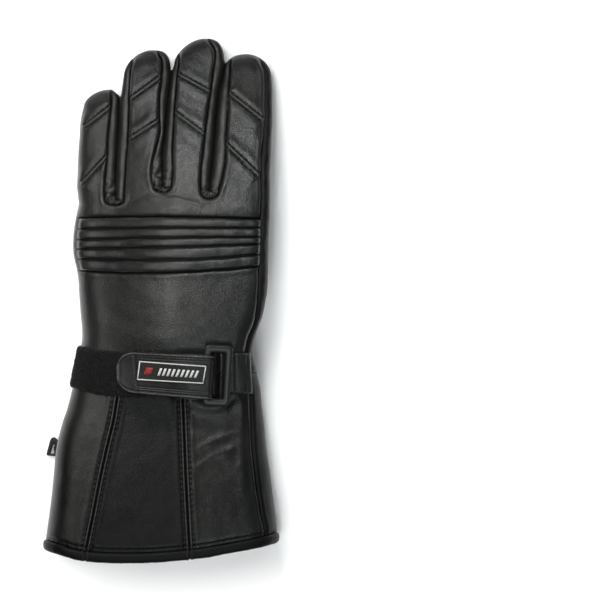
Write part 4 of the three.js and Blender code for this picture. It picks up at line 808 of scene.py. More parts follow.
def tuck_relief(x, y):
    """Tucks: a low ridge between two stitched channels, with the leather full on both sides."""
    tall = np.zeros(np.shape(x))
    for start, end in TUCKS:
        start = np.array(start, float)
        way = np.array(end, float) - start
        length = np.linalg.norm(way)
        way /= length
        along_it = (x - start[0]) * way[0] + (y - start[1]) * way[1]
        across = (x - start[0]) * way[1] - (y - start[1]) * way[0]
        ends = smooth_step(*TUCK_ENDS, along_it) * smooth_step(*TUCK_ENDS, length - along_it)
        pitch = length / round(length / STITCH_PITCH)
        beat = beat_of(along_it, pitch)
        ridge = 0.5 * (0.8 + 0.2 * beat) * np.exp(-(across / 0.72) ** 4)
        channel = (0.16 + 0.95 * beat ** 1.4) * bell(np.abs(across) - TUCK_HALF, 0.44)
        full = 0.45 * bell(np.abs(across) - 4.2, 2.6)
        tall += ends * (ridge - channel + full)
    return tall


GROOVE_WAVE = 0.3


def pad_line(number, share):
    """A groove of the knuckle pad: a straight line with a parabola's bow and a slight wave."""
    left, middle, right = PAD_GROOVES[number]
    bow = middle - (left + right) / 2
    wave = GROOVE_WAVE * soft_noise(115 * share, number * 37 + 0 * share, 12, 33)
    return mix(left, right, share) + bow * 4 * share * (1 - share) + wave * smooth_step(0, 0.08, share)


def pad_border(number):
    """Plan points of the knuckle pad's upper or lower groove."""
    share = np.linspace(0, 1, 50)
    y = pad_line(number, share)
    return np.stack([mix(left_edge(y), index_seam(y), share), y], 1)


PAD_TOP = pad_border(0)
PAD_BOTTOM = pad_border(len(PAD_GROOVES) - 1)
HAND_SEAMS = [PATHS[name]["back"] for name in PATHS] + [PAD_TOP, PAD_BOTTOM]


# gathers beside a seam, and the dip of the hand's back down to the knuckle pad: depth, width
PUCKER_PITCH = 4.2
PUCKER_REACH = 3.6
PAD_DIP = (1.3, 3.2)


def nearest_seam(x, y, lines):
    """Distance to the nearest of several lines, and the gathers beside it.

    The gathers are noise along the line; they die out with the distance and where two lines meet.
    """
    gap = np.full(np.shape(x), np.inf)
    second = np.full(np.shape(x), np.inf)
    run = np.zeros(np.shape(x))
    for line in lines:
        far, _, _, place, _, _ = nearest_on(line, x, y)
        closer = far < gap
        second = np.minimum(second, np.where(closer, gap, far))
        run = np.where(closer, np.interp(place, np.arange(len(line)), run_along(line)), run)
        gap = np.minimum(gap, far)
    wave = soft_noise(run, gap * 0.4, PUCKER_PITCH, 7)
    return gap, wave * bell(gap, PUCKER_REACH) * smooth_step(0, 3, second - gap)


def hand_relief(x, y):
    """Back of the hand: seams, gathers, tucks, folds, dents and the dip down to the knuckle pad."""
    gap, gathers = nearest_seam(x, y, HAND_SEAMS)
    dip = PAD_DIP[0] * bell(nearest_on(PAD_TOP, x, y)[0], PAD_DIP[1])
    calm = mix(0.5, 1, smooth_step(10, 40, y))
    return (seam_relief(gap) + 0.26 * gathers + tuck_relief(x, y) + fold_relief(x, y)
            + lip_relief(x, y) + calm * dents(x, y) - dip)


def palm_relief(x, y):
    """Palm side: seams along the strips, gathers and shallow dents."""
    gap, gathers = nearest_seam(x, y, [PATHS[name]["palm"] for name in PATHS])
    return seam_relief(gap) * 0.7 + 0.15 * gathers + dents(x, y) * 0.6


PAINTED_SHEENS = (
    # centre, half widths, strength: patches of painted sheen, pale highlights painted on the backs of the
    # fingers and the wrist
    (17, 79, 9, 20, 0.34), (22, 108, 8, 14, 0.32), (-6, 72, 9, 14, 0.42), (50, 88, 8, 22, 0.03),
    (-2, -5, 20, 13, 0.12), (16, 57, 24, 4, 0.16),
)


def hand_highlights(x, y):
    """Painted highlights on the back: patches of painted sheen, and pale lines along the tuck crests, the
    lips at the crotches and the rolls beside the seams.
    """
    painted_highlight = np.zeros(np.shape(x))
    for centre_x, centre_y, wide, tall, strength in PAINTED_SHEENS:
        far = ((x - centre_x) / wide) ** 2 + ((y - centre_y) / tall) ** 2
        painted_highlight = np.maximum(painted_highlight, strength * np.exp(-far) * (0.75 + 0.35 * soft_noise(x, y, 7, 12)))
    # pale crests of the tucks: painted highlight
    for start, end in TUCKS:
        gap = nearest_on(np.array([start, end], float), x, y)[0]
        painted_highlight = np.maximum(painted_highlight, 0.42 * bell(gap, 0.5))
    # pale lines beside the seam rolls: painted highlight
    gap, _ = nearest_seam(x, y, HAND_SEAMS)
    patchy = 0.5 + 0.5 * soft_noise(x, y, 6, 9).clip(-1, 1)
    painted_highlight = np.maximum(painted_highlight, 0.2 * patchy * bell(gap - 1.7, 0.6))
    # pale lips round the foot of each U: painted highlight
    for name, crotch in CROTCHES.items():
        gap = nearest_on(PATHS[name]["back"], x, y)[0]
        low = smooth_step(crotch["y"] + 4, crotch["y"] - 2, y)
        painted_highlight = np.maximum(painted_highlight, 0.8 * low * patchy * bell(gap - 2.4, 0.9))
    return painted_highlight


def nothing(x, y):
    """No relief and no painted highlight: zero at every place."""
    return np.zeros(np.shape(x))


# materials
GRAIN_DEPTH = 0.00016
GRAIN_BEND = (0.0006, 0.0006, 0.0006)


def fill(tree, made, inputs):
    """Fills a node's inputs, by name or number: an output is linked to its input, a constant is set."""
    for name, value in inputs.items():
        if isinstance(value, bpy.types.NodeSocket):
            tree.links.new(value, made.inputs[name])
        else:
            made.inputs[name].default_value = value


def node(tree, kind, inputs, output=0, **properties):
    """A new shader node, filled and set; gives one of its outputs, or all of them for None."""
    made = tree.nodes.new(kind)
    made.location = (200 * len(tree.nodes), 0)
    for name, value in properties.items():
        setattr(made, name, value)
    fill(tree, made, inputs)
    return made.outputs if output is None else made.outputs[output]


def math_node(tree, operation, first, second):
    """A sum, product or maximum of two values."""
    return node(tree, "ShaderNodeMath", {0: first, 1: second}, operation=operation)


def remap(tree, value, inputs, **properties):
    """A value brought from one range to another; both ranges are 0 to 1 where nothing else is given."""
    return node(tree, "ShaderNodeMapRange", {"Value": value, **inputs}, **properties)


def noise(tree, place, scale, detail, roughness=0.5, output="Fac"):
    """Noise at a place, as a grey value or as a colour."""
    inputs = {"Vector": place, "Scale": scale, "Detail": detail, "Roughness": roughness}
    return node(tree, "ShaderNodeTexNoise", inputs, output)


def blend_colour(tree, factor, low, high):
    """A colour between two, by a mask; the low one may be an output of another node."""
    low = low if isinstance(low, bpy.types.NodeSocket) else (*low, 1)
    return node(tree, "ShaderNodeMix", {0: factor, 6: low, 7: (*high, 1)}, 2, data_type="RGBA")


def grain_group():
    """Leather: pebbles from bent cells, creases from noise, a slow change of tone, and worn high places."""
    tree = bpy.data.node_groups.new("leather_grain", "ShaderNodeTree")
    face = tree.interface
    face.new_socket("Vector", in_out="INPUT", socket_type="NodeSocketVector")
    face.new_socket("Worn", in_out="INPUT", socket_type="NodeSocketFloat").default_value = 0.5
    for name in ("Height", "Tone", "Wear"):
        face.new_socket(name, in_out="OUTPUT", socket_type="NodeSocketFloat")
    start = node(tree, "NodeGroupInput", {}, None)
    place = start["Vector"]
    bend = noise(tree, place, 700, 3, output="Color")
    moved = node(tree, "ShaderNodeVectorMath", {0: bend, 1: GRAIN_BEND, 2: place}, operation="MULTIPLY_ADD")
    cells = node(tree, "ShaderNodeTexVoronoi", {"Vector": moved, "Scale": 850}, "Distance",
                 feature="DISTANCE_TO_EDGE")
    pebbles = remap(tree, cells, {"From Max": 0.32}, interpolation_type="SMOOTHSTEP")
    height = math_node(tree, "ADD", pebbles, noise(tree, place, 300, 5, 0.62))
    tone = remap(tree, noise(tree, place, 26, 4, 0.55), {"From Min": 0.3, "From Max": 0.7})
    high = node(tree, "ShaderNodeNewGeometry", {}, "Pointiness")
    worn = remap(tree, high, {"From Min": 0.52, "From Max": 0.62}, interpolation_type="SMOOTHSTEP")
    wear_and_highlight = math_node(tree, "MULTIPLY", math_node(tree, "MULTIPLY", worn, tone), start["Worn"])
    node(tree, "NodeGroupOutput", {"Height": height, "Tone": tone, "Wear": wear_and_highlight}, None)
    return tree


GRAIN = grain_group()


def start_material(name):
    """A new material, its node tree and its object coordinates."""
    material = bpy.data.materials.new(name)
    material.use_nodes = True
    tree = material.node_tree
    return material, tree, node(tree, "ShaderNodeTexCoord", {}, "Object")


def finish_material(tree, colour, tone, height, rough, vary, bump, depth, constants):
    """Fills the shader: a colour, a roughness that varies with a tone, a bump, and constants."""
    gloss = remap(tree, tone, {"To Min": rough - vary, "To Max": rough + vary})
    rise = node(tree, "ShaderNodeBump", {"Strength": bump, "Distance": depth, "Height": height})
    fill(tree, tree.nodes["Principled BSDF"],
         {"Base Color": colour, "Roughness": gloss, "Normal": rise, **constants})


def leather(name, dark, light, rough, shine, wear_and_highlight_colour, worn=0.5, bump=0.35):
    """Black leather: grain as bump, tone and roughness that vary slowly, paler on worn edges and where a
    highlight is painted.

    The paleness of a place is the larger of the mesh's own painted highlight, broken by flecks, and that of
    worn high places.
    """
    material, tree, place = start_material(name)
    grain = node(tree, "ShaderNodeGroup", {"Vector": place, "Worn": worn}, None, node_tree=GRAIN)
    painted_highlight = node(tree, "ShaderNodeAttribute", {}, "Fac", attribute_name="painted_highlight")
    flecks = remap(tree, noise(tree, place, 900, 2), {"From Min": 0.3, "From Max": 0.62, "To Min": 0.35})
    wear_and_highlight_mix = math_node(tree, "MAXIMUM", math_node(tree, "MULTIPLY", painted_highlight, flecks), grain["Wear"])
    colour = blend_colour(tree, wear_and_highlight_mix, blend_colour(tree, grain["Tone"], dark, light), wear_and_highlight_colour)
    finish_material(tree, colour, grain["Tone"], grain["Height"], rough, 0.05, bump, GRAIN_DEPTH,
                    {"Specular IOR Level": shine})
    return material


def plain_surface(name, colour, rough, scale, bump, depth=0.0002, sheen=0.0):
    """Plastic, thread or pile: one noise for its fine texture and for its roughness."""
    material, tree, place = start_material(name)
    grain = noise(tree, place, scale, 4)
    shade = blend_colour(tree, grain, [c * 0.75 for c in colour], [c * 1.3 for c in colour])
    finish_material(tree, shade, grain, grain, rough, 0.08, bump, depth,
                    {"Sheen Weight": sheen, "Sheen Roughness": 0.5})
    return material


# each leather: its darkest and lightest tone, roughness, shine, and its pale colour for worn places and
# painted highlights
HAND_LEATHER = leather("glove_hand_leather", (0.0078, 0.0089, 0.0088), (0.0145, 0.0153, 0.0132),
                       0.35, 0.5, (0.11, 0.112, 0.108), bump=0.45)
CUFF_LEATHER = leather("glove_cuff_leather", (0.0042, 0.005, 0.0054), (0.0088, 0.0094, 0.0082),
                       0.37, 0.19, (0.13, 0.132, 0.13), bump=0.32)
CUFF_SIDE_LEATHER = leather("glove_cuff_side_leather", (0.0052, 0.006, 0.0055), (0.01, 0.0108, 0.0088),
                            0.35, 0.36, (0.13, 0.132, 0.13), bump=0.32)
DULL_LEATHER = leather("glove_dull_leather", (0.0034, 0.0039, 0.0042), (0.007, 0.0075, 0.0066),
                       0.46, 0.14, (0.1, 0.102, 0.1))
STRAP_LEATHER = leather("glove_strap_leather", (0.0082, 0.0085, 0.009), (0.015, 0.0155, 0.0155),
                        0.42, 0.45, (0.17, 0.17, 0.165), worn=0.3)
THREAD = plain_surface("black_thread", (0.004, 0.004, 0.004), 0.7, 2500, 0.5)
PILE = plain_surface("loop_pile", (0.006, 0.006, 0.0063), 0.9, 1400, 1.0, 0.0006, 0.05)
PLASTIC = plain_surface("moulded_plastic", (0.012, 0.012, 0.0125), 0.4, 900, 0.1)
LOOP_PILE = plain_surface("glove_tape_loops", (0.011, 0.011, 0.012), 0.5, 700, 0.3)
PRINT = plain_surface("pale_print", (0.82, 0.82, 0.8), 0.5, 1200, 0.2)
RED_PRINT = plain_surface("red_print", (0.32, 0.03, 0.025), 0.55, 1200, 0.2)
PATCH = plain_surface("woven_patch", (0.011, 0.011, 0.0115), 0.6, 1500, 0.5)


# back of the hand and fingers
back_columns = {finger: spread(23, 0.55, 0.26, 0.26) for finger in ORDER}
back_columns["little"] = spread(20, 0.55, 0.02, 0.26)
back_sheet, back_hand, _, _ = comb_sheet(
    1, lambda share: pad_line(0, share) + SEAM_GAP, 34, back_columns, hand_relief, hand_highlights)
back_sheet.weave(back_hand)
mesh_object("glove_hand_back", *back_sheet.wall(WALL), HAND_LEATHER, "leather", ["hand_back"])


def panel(name, x, y, side, on_edge, height, wear_and_highlight, material, slot):
    """A panel from one plan grid on the skin, made into a closed wall."""
    points, directions = place_on_skin(x, y, side, on_edge, height)
    return walled(name, points, directions, WALL, material, slot, wear_and_highlight(x, y))


# knuckle pad
PAD_INSET = 2.9


def pad_relief(level, x, y):
    """Ribs: pillows between the grooves, which fade at both ends; a groove runs down the left end."""
    part = level % 1
    pillow = (1 - np.abs(2 * part - 1) ** 3).clip(0) ** 0.6
    inset = x - left_edge(y)
    right = index_seam(y) - x
    ends = smooth_step(PAD_INSET - 0.2, PAD_INSET + 2.6, inset) * smooth_step(-0.1, 2.6, right)
    low = smooth_step(0.2, 1.6, inset) * 0.8
    tall = mix(low, RIB_HEIGHT * pillow * (0.9 + 0.14 * soft_noise(x, y, 11, 8)), ends)
    tall -= 0.55 * bell(inset - PAD_INSET, 0.6)
    tall -= 0.7 * bell(right, 0.7)
    edge = np.minimum(part, 1 - part) * 6.5
    return tall - 0.45 * bell(edge, 0.5) + 0.8 * dents(x, y)


def knuckle_pad():
    """The padded panel: its rows follow the grooves, its columns run from the outline to the index seam."""
    share = spread(113, 0.8, 0.015, 0.25)
    ribs = len(PAD_GROOVES) - 1
    level = np.concatenate([n + spread(6.4, 0.42, 0.16, 0.16)[:-1] for n in range(ribs)] + [[ribs]])[::-1]
    y = np.array([
        mix(pad_line(n, share), pad_line(n + 1, share), place - n)
        for n, place in zip(np.minimum(level.astype(int), ribs - 1), level)
    ])
    y[0] += SEAM_GAP
    y[-1] -= SEAM_GAP
    x = mix(left_edge(y), index_seam(y) - SEAM_GAP, share)
    inset = x - left_edge(y)
    points, directions = skin(x, y, 1, share == 0)
    tall = pad_relief(level[:, None], x, y) * smooth_step(0, 1.2, inset)
    # the pad's painted highlight: a pale line beside the groove at its left end
    return walled("knuckle_pad", points + directions * tall[..., None], directions, WALL, HAND_LEATHER,
                  "leather", 0.55 * bell(inset - PAD_INSET - 1.5, 0.7))


knuckles = knuckle_pad()

# plain back panel down to the wrist
wrist_share = spread(113, 1.1, 0.015, 0.3)
wrist_t = spread(64, 1.1, 0.4, 0.3)
wrist_top = pad_line(len(PAD_GROOVES) - 1, wrist_share) - SEAM_GAP
wrist_y = mix(WRIST_Y + SEAM_GAP, wrist_top, wrist_t[:, None])
wrist_x = mix(left_edge(wrist_y), index_seam(wrist_y) - SEAM_GAP, wrist_share)
panel("wrist_back", wrist_x, wrist_y, 1, wrist_share == 0, hand_relief, hand_highlights, HAND_LEATHER, "leather")

# side strips between the fingers and along the index side
STRIP_HALF = np.array([
    1, 0.97, 0.93, 0.88, 0.82, 0.75, 0.68, 0.61, 0.55, 0.5, 0.46, 0.42, 0.33, 0.25, 0.17, 0.11, 0.06, 0.03,
    0.01, 0.002,
])
# how far slit walls press together, and the gap at which they stay open and are shut
SLIT_PRESS = 0.05
SLIT_OPEN = (1.7, 1.1)
# the tube of a strip: its share of the half, its seam's depth, rise, drop and gathers
TUBE_SHARE = 0.42
TUBE_SEAM = 0.7
TUBE_RISE = 1.6
TUBE_DROP = 2.3
STRIP_WALL = 1.5
GATHER_HEIGHT = 2.2
# reach of the gathers before and after the middle of each crotch
GATHERS = {"little_ring": (17, 6), "ring_middle": (20, 13), "middle_index": (9, 9)}


def slit_closing(edge, parts):
    """How far the walls of a slit move to meet: half the gap to the other finger and a press."""
    first, length = parts
    after = first + length
    close = np.zeros(len(edge))
    for half, other in ((slice(0, first), slice(after, None)), (slice(after, None), slice(0, first))):
        apart = nearest_on(edge[other], edge[half, 0], edge[half, 1])[0]
        close[half] = (apart / 2 + SLIT_PRESS) * smooth_step(*SLIT_OPEN, apart)
    close[first:after] = np.interp(np.arange(length), [-1, length], [close[first - 1], close[after]])
    return close


def side_strip(name, replaced):
    """A strip from its back seam over the outline to its palm seam, full between its seams.

    Its fullness is a sine across it. Between two fingers its upper half is a round tube, gathered by
    noise under a bell curve along the path, and below the tube it drops into the slit.
    """
    strip = PATHS[name]
    fourchette = name in CROTCHES
    edge = strip["edge"]
    back = towards(strip["back"], edge, SEAM_GAP)
    palm = towards(strip["palm"], edge, PALM_GAP)
    run = run_along(strip["back"])
    close = slit_closing(edge, strip["parts"]) if fourchette else np.zeros(len(run))
    upper = edge[:, None] + (back - edge)[:, None] * STRIP_HALF[None, :, None]
    lower = edge[:, None] + (palm - edge)[:, None] * STRIP_HALF[None, ::-1, None]
    grid = np.concatenate([upper, edge[:, None], lower], 1)
    across = np.concatenate([STRIP_HALF, [0], -STRIP_HALF[::-1]])[None]
    points, directions = skin(grid[..., 0], grid[..., 1], np.sign(across), across == 0)
    width = np.linalg.norm(back - edge, axis=1)[:, None]
    span = np.where(across > 0, width, np.linalg.norm(palm - edge, axis=1)[:, None])
    far = (1 - np.abs(across)) * span
    full = 0.85 * np.sin(np.pi * np.abs(across) ** 0.75) * smooth_step(0.5, 5, span)
    dip = -0.8 * bell(far, 0.7) * smooth_step(0.2, 2, span)
    along_it = run[:, None] + 0 * span
    across_it = across * 8 + 0 * span
    calm = np.sin(np.pi * np.abs(across)) * smooth_step(0.5, 4, span)
    uneven = 0.3 * soft_noise(along_it, across_it, 6, 21) * calm
    shut = close[:, None] * bell(across, 0.3)
    flat = points + directions * (full + dip + uneven + shut)[..., None]
    patchy = 0.5 + 0.5 * soft_noise(along_it, across_it, 9, 23).clip(-1, 1)
    # painted highlight: a pale line beside the back seam, broken by patchy noise
    painted_highlight = 0.5 * patchy * bell(far - 1.3, 0.55) * (across > 0)
    if not fourchette:
        return walled(replaced, flat, directions, STRIP_WALL, DULL_LEATHER, "leather", 0.4 * painted_highlight, True)
    half = len(STRIP_HALF)
    middle = run[strip["parts"][0] + strip["parts"][1] // 2]
    gather = bell(run - middle, np.where(run < middle, *GATHERS[name]))
    t = ((1 - STRIP_HALF) / (1 - TUBE_SHARE)).clip(0, 1)[None]
    shut_line = points[:, half] + directions[:, half] * close[:, None]
    lateral = (1 - np.cos(np.pi * t)) / 2
    wide = smooth_step(0.3, 3, width)
    along_it = along_it[:, :half]
    crumple = soft_noise(along_it, lateral * 6, 3.3, 22) + 0.35 * soft_noise(along_it, lateral * 7, 1.9, 25)
    gathers = gather[:, None] * crumple * np.sin(np.pi * (t * 0.85 + 0.08))
    ease = 0.75 + 0.25 * soft_noise(along_it, lateral * 3, 8, 26)
    level = flat[:, :1, 2] - TUBE_SEAM * wide - TUBE_DROP * wide * t ** 1.5
    level = level + TUBE_RISE * wide * ease * np.sin(np.pi * t) + GATHER_HEIGHT * gathers * wide
    flat[:, :half, :2] = mix(flat[:, :1, :2], shut_line[:, None, :2], lateral[..., None])
    wall = mix(shut_line[:, 2:3], level[:, -1:], (STRIP_HALF / TUBE_SHARE).clip(0, 1))
    flat[:, :half, 2] = np.where(STRIP_HALF < TUBE_SHARE, wall, level)
    # painted highlights: a pale line along the tube's crest, and pale bits on the gathers
    light_line = 0.75 * patchy[:, :half] * bell(t - 0.42, 0.1)
    painted_highlight[:, :half] = np.maximum(light_line, (gathers * 1.3).clip(0, 0.7))
    return walled(replaced, flat, directions, STRIP_WALL, CUFF_SIDE_LEATHER, "leather", painted_highlight, True)


for gap_name in CROTCHES:
    side_strip(gap_name, f"fourchette_{gap_name}")
side_strip("index_side", "index_side_strip")

# thumb and its hole in the palm
THUMB_TIP = np.array([27.5, 55.0])
THUMB_ROOT = np.array([40.2, 3.5])
THUMB_HALF_WIDTHS = (11.5, 13.2)
THUMB_HEIGHT = 17.2
THUMB_TIP_LENGTH = 11
MOUTH_INNER = 0.3
HOLE = (11.6, 7.2)
thumb_length = float(np.linalg.norm(THUMB_ROOT - THUMB_TIP))
thumb_way = (THUMB_ROOT - THUMB_TIP) / thumb_length
thumb_across = np.array([-thumb_way[1], thumb_way[0]])
mouth = THUMB_ROOT + thumb_way * (MOUTH_INNER + THUMB_HEIGHT / 2)

palm_columns = {finger: spread(23, 1.5) for finger in ORDER}
palm_columns["little"] = spread(20, 1.5, 0.02, None, 1.9)
palm_sheet, palm_hand, palm_x, palm_y = comb_sheet(
    -1, lambda share: WRIST_Y + SEAM_GAP + 0 * share, 76, palm_columns, palm_relief, nothing)
from_mouth = np.stack([palm_x, palm_y], -1) - mouth
far_out = np.hypot(from_mouth @ thumb_across / HOLE[0], from_mouth @ thumb_way / HOLE[1])
keep_quad = quads_of(far_out).mean(-1) > 1
rim = np.zeros(far_out.shape, bool)
for rim_rows in (slice(None, -1), slice(1, None)):
    for rim_columns in (slice(None, -1), slice(1, None)):
        rim[rim_rows, rim_columns] |= ~keep_quad
snapped = rim & (far_out > 0.2)
rim_place = mouth + from_mouth[snapped] / far_out[snapped][:, None]
palm_points = np.concatenate(palm_sheet.points)
palm_directions = np.concatenate(palm_sheet.directions)
palm_points[palm_hand[snapped]], palm_directions[palm_hand[snapped]] = skin(*rim_place.T, -1)
palm_sheet.points = [palm_points]
palm_sheet.directions = [palm_directions]
palm_sheet.weave(palm_hand[:, ::-1], keep_quad[:, ::-1])
mesh_object("glove_palm", *palm_sheet.wall(WALL), HAND_LEATHER, "leather", ["palm"])


def thumb_rings():
    """Rings of the thumb: a round tip, a straight run, and a quarter turn up into the palm's hole.

    Each ring is an ellipse round its centre, across the thumb and along its own rising direction.
    """
    half = THUMB_HEIGHT / 2
    way = np.array([*thumb_way, 0])
    tip = np.array([*THUMB_TIP, half])
    pivot = tip + way * thumb_length
    pivot[2] = THUMB_HEIGHT + MOUTH_INNER
    angle = np.linspace(0, np.pi / 2, 17)
    share = np.linspace(0, 1, 22)[1:]
    turn = np.linspace(0, np.pi / 2, 14)[1:]
    flat = np.ones(len(share) + len(turn))
    run = np.concatenate([THUMB_TIP_LENGTH * (1 - np.cos(angle)), mix(THUMB_TIP_LENGTH, thumb_length, share)])
    turned = UP * np.cos(turn)[:, None] - way * np.sin(turn)[:, None]
    rises = np.concatenate([np.tile(UP, (len(run), 1)), turned])
    centres = np.concatenate([tip + way * run[:, None], pivot - turned * (MOUTH_INNER + half)])
    widths = np.concatenate([THUMB_HALF_WIDTHS[0] * np.sin(angle), mix(*THUMB_HALF_WIDTHS, share),
                             THUMB_HALF_WIDTHS[1] + 0 * turn])
    return centres, rises, widths, half * np.concatenate([np.sin(angle), flat]), np.concatenate(
        [np.cos(angle), 0 * flat])


def thumb_piece():
    """The thumb's tube, with a seam on each side and shallow dents, closed at the tip."""
    centres, rises, widths, heights, forward = thumb_rings()
    way = np.array([*thumb_way, 0])
    across = np.array([*thumb_across, 0])
    angle = np.linspace(0, 2 * np.pi, 57)
    c = np.cos(angle)[None, :, None]
    s = np.sin(angle)[None, :, None]
    radial = unit(across * c / THUMB_HALF_WIDTHS[1] + rises[:, None] * s / (THUMB_HEIGHT / 2))
    lean = forward[:, None, None]
    directions = radial * np.sqrt(1 - lean ** 2) - way * lean
    points = (centres[:, None] + across * c * widths[:, None, None]
              + rises[:, None] * s * heights[:, None, None])
    from_seam = np.minimum(np.abs(np.sin(angle / 2 - 0.16)), np.abs(np.sin(angle / 2 - np.pi / 2 + 0.16)))
    number = np.arange(len(centres))[:, None]
    wave = soft_noise(number * 1.9 + 0 * angle, np.sin(angle) * 9 + 0 * number, 8, 31)
    tall = -0.7 * bell(from_seam * 24, 1.1) - 0.25 * (1 + wave) * (points[..., 2] > 0.6)
    points = points + directions * (tall * smooth_step(1, 6, number))[..., None]
    points[..., 2] = points[..., 2].clip(0.02)
    points[:, -1] = points[:, 0]
    directions[:, -1] = directions[:, 0]
    return walled("thumb", points, directions, WALL, HAND_LEATHER, "leather", weld=0.02)


thumb_piece()

# cuff: each panel is a list of columns, which are (side, x as a function of y)
def line_at(table, amount=0.0):
    """A line up the cuff, at an amount to the right of a tabled one."""
    return lambda y: curve(table, y) + amount


def between(first, last, share):
    """A line at a share of the way between two others."""
    return lambda y: mix(first(y), last(y), share)


def cuff_grid(columns, rows):
    """Plan grid of a cuff panel: its rows run from the hem to the wrist."""
    hem = np.array([float(curve(HEM, line(HEM_LEVEL))) for _, line in columns]) + SEAM_GAP
    y = mix(hem, WRIST_Y - SEAM_GAP, rows[:, None])
    x = np.stack([line(y[:, k]) for k, (_, line) in enumerate(columns)], 1)
    return x, y, np.array([side for side, _ in columns])


# beside a long seam: its crest's distance, and how much its slant shortens distances across
CREST = 1.3
SEAM_SLANT = 0.985
HEM_ROW = 1.9
HEM_PITCH = 3.2


def cuff_relief(x, y):
    """Cuff: each long seam is a groove with a ridge on both sides and a stitched channel beyond."""
    calm = mix(0.45, 0.9, smooth_step(10, 30, x))
    tall = fold_relief(x, y) + calm * dents(x, y)
    beat = beat_of(y, STITCH_PITCH)
    for name in ("little", "middle"):
        gap = np.abs(x - curve(CUFF_SEAMS[name], y)) * SEAM_SLANT
        tall = tall - 0.7 * bell(gap, 0.4) + 0.7 * bell(gap - CREST, 0.5)
        tall = tall - (0.1 + 0.65 * beat) * bell(gap - CUFF_ROW, 0.5)
        tall = tall + 0.3 * bell(gap - 4.9, 1.3)
    gap = np.abs(x - curve(CUFF_SEAMS["index"], y))
    tall = tall - 1.1 * bell(gap, 0.8) + 0.35 * bell(gap - 2.2, 1.1)
    hem = y - curve(HEM, x)
    tall = tall - 1.3 * bell(hem, 2.4)
    tall = tall - (0.2 + 0.4 * beat_of(x, HEM_PITCH)) * bell(hem - HEM_ROW, 0.45)
    return tall + 0.22 * soft_noise(x, hem * 0.25, 3.4, 44) * bell(hem, 5)


# line of the painted highlight below the buckle, along its crease
BUCKLE_CREASE = np.array([(17.5, -63.5), (22, -67.2), (28, -69.8), (34, -70), (41, -67)])


def cuff_highlights(x, y):
    """Painted highlights: pale crests on both sides of the cuff's long seams, pale spots along their stitch
    rows, and a pale band on the crease that the buckle presses.
    """
    painted_highlight = np.zeros(np.shape(x))
    beat = 1 - beat_of(y, STITCH_PITCH)
    for name in ("little", "middle"):
        gap = np.abs(x - curve(CUFF_SEAMS[name], y))
        painted_highlight = np.maximum(painted_highlight, (0.65 + 0.35 * beat) * bell(gap - CREST, 0.34))
        painted_highlight = np.maximum(painted_highlight, 0.3 * beat ** 2 * bell(gap - CUFF_ROW, 0.5))
    gap = nearest_on(BUCKLE_CREASE, x, y)[0]
    patchy = 0.8 + 0.35 * soft_noise(x, y, 6, 46)
    return np.maximum(painted_highlight, 0.34 * patchy * bell(gap, 1.9) * smooth_step(44, 26, x))


LITTLE, MIDDLE, INDEX = CUFF_SEAMS.values()
UNDER_INSETS = (UNDER_SEAM - SEAM_GAP, 2.6, 1.7, 1, 0.5, 0.2, 0.06, 0.01)
UNDER_HOLLOW = 0.12
cuff_rows = spread(106, 0.85, 0.3, None, hold=(3.4, 0))
little_shares = spread(40, 0.9, 0.02, 0.2, hold=(0, 3.8))
middle_shares = spread(52, 0.9, 0.2, 0.2, hold=(3.8, 3.8))
index_shares = spread(44, 0.9, 0.2, 0.2, hold=(3.8, 2.4))
cuff_columns = {
    "gauntlet_back_little":
        [(-1, line_at(HAND, inset)) for inset in UNDER_INSETS]
        + [(np.sign(s), between(left_edge, line_at(LITTLE, -SEAM_GAP), s)) for s in little_shares],
    "gauntlet_back_middle":
        [(1, between(line_at(LITTLE, SEAM_GAP), line_at(MIDDLE, -SEAM_GAP), s)) for s in middle_shares],
    "gauntlet_back_index":
        [(1, between(line_at(MIDDLE, SEAM_GAP), line_at(INDEX, -SEAM_GAP), s)) for s in index_shares],
    "gauntlet_palm":
        [(1, between(line_at(INDEX, SEAM_GAP), right_edge, s)) for s in spread(6, 0.6, 0.24, 0.01)[:-1]]
        + [(-np.sign(s), between(right_edge, line_at(HAND, UNDER_SEAM + SEAM_GAP), s))
           for s in spread(130, 2.2, 0.01)],
}


def cuff_height(side):
    """Relief of a panel: the cuff's on its back, and below only shallow hollows, since it lies flat."""
    return lambda x, y: np.where(side > 0, cuff_relief(x, y), 0.1 * dents(x, y) - UNDER_HOLLOW)


for cuff_name, cuff_material, cuff_highlighting in (
        ("gauntlet_back_little", CUFF_SIDE_LEATHER, cuff_highlights),
        ("gauntlet_back_middle", CUFF_LEATHER, cuff_highlights),
        ("gauntlet_back_index", CUFF_SIDE_LEATHER, cuff_highlights),
        ("gauntlet_palm", DULL_LEATHER, nothing)):
    cuff_x, cuff_y, cuff_side = cuff_grid(cuff_columns[cuff_name], cuff_rows)
    panel(cuff_name, cuff_x, cuff_y, cuff_side, cuff_side == 0, cuff_height(cuff_side), cuff_highlighting,
          cuff_material, "cuff_leather")


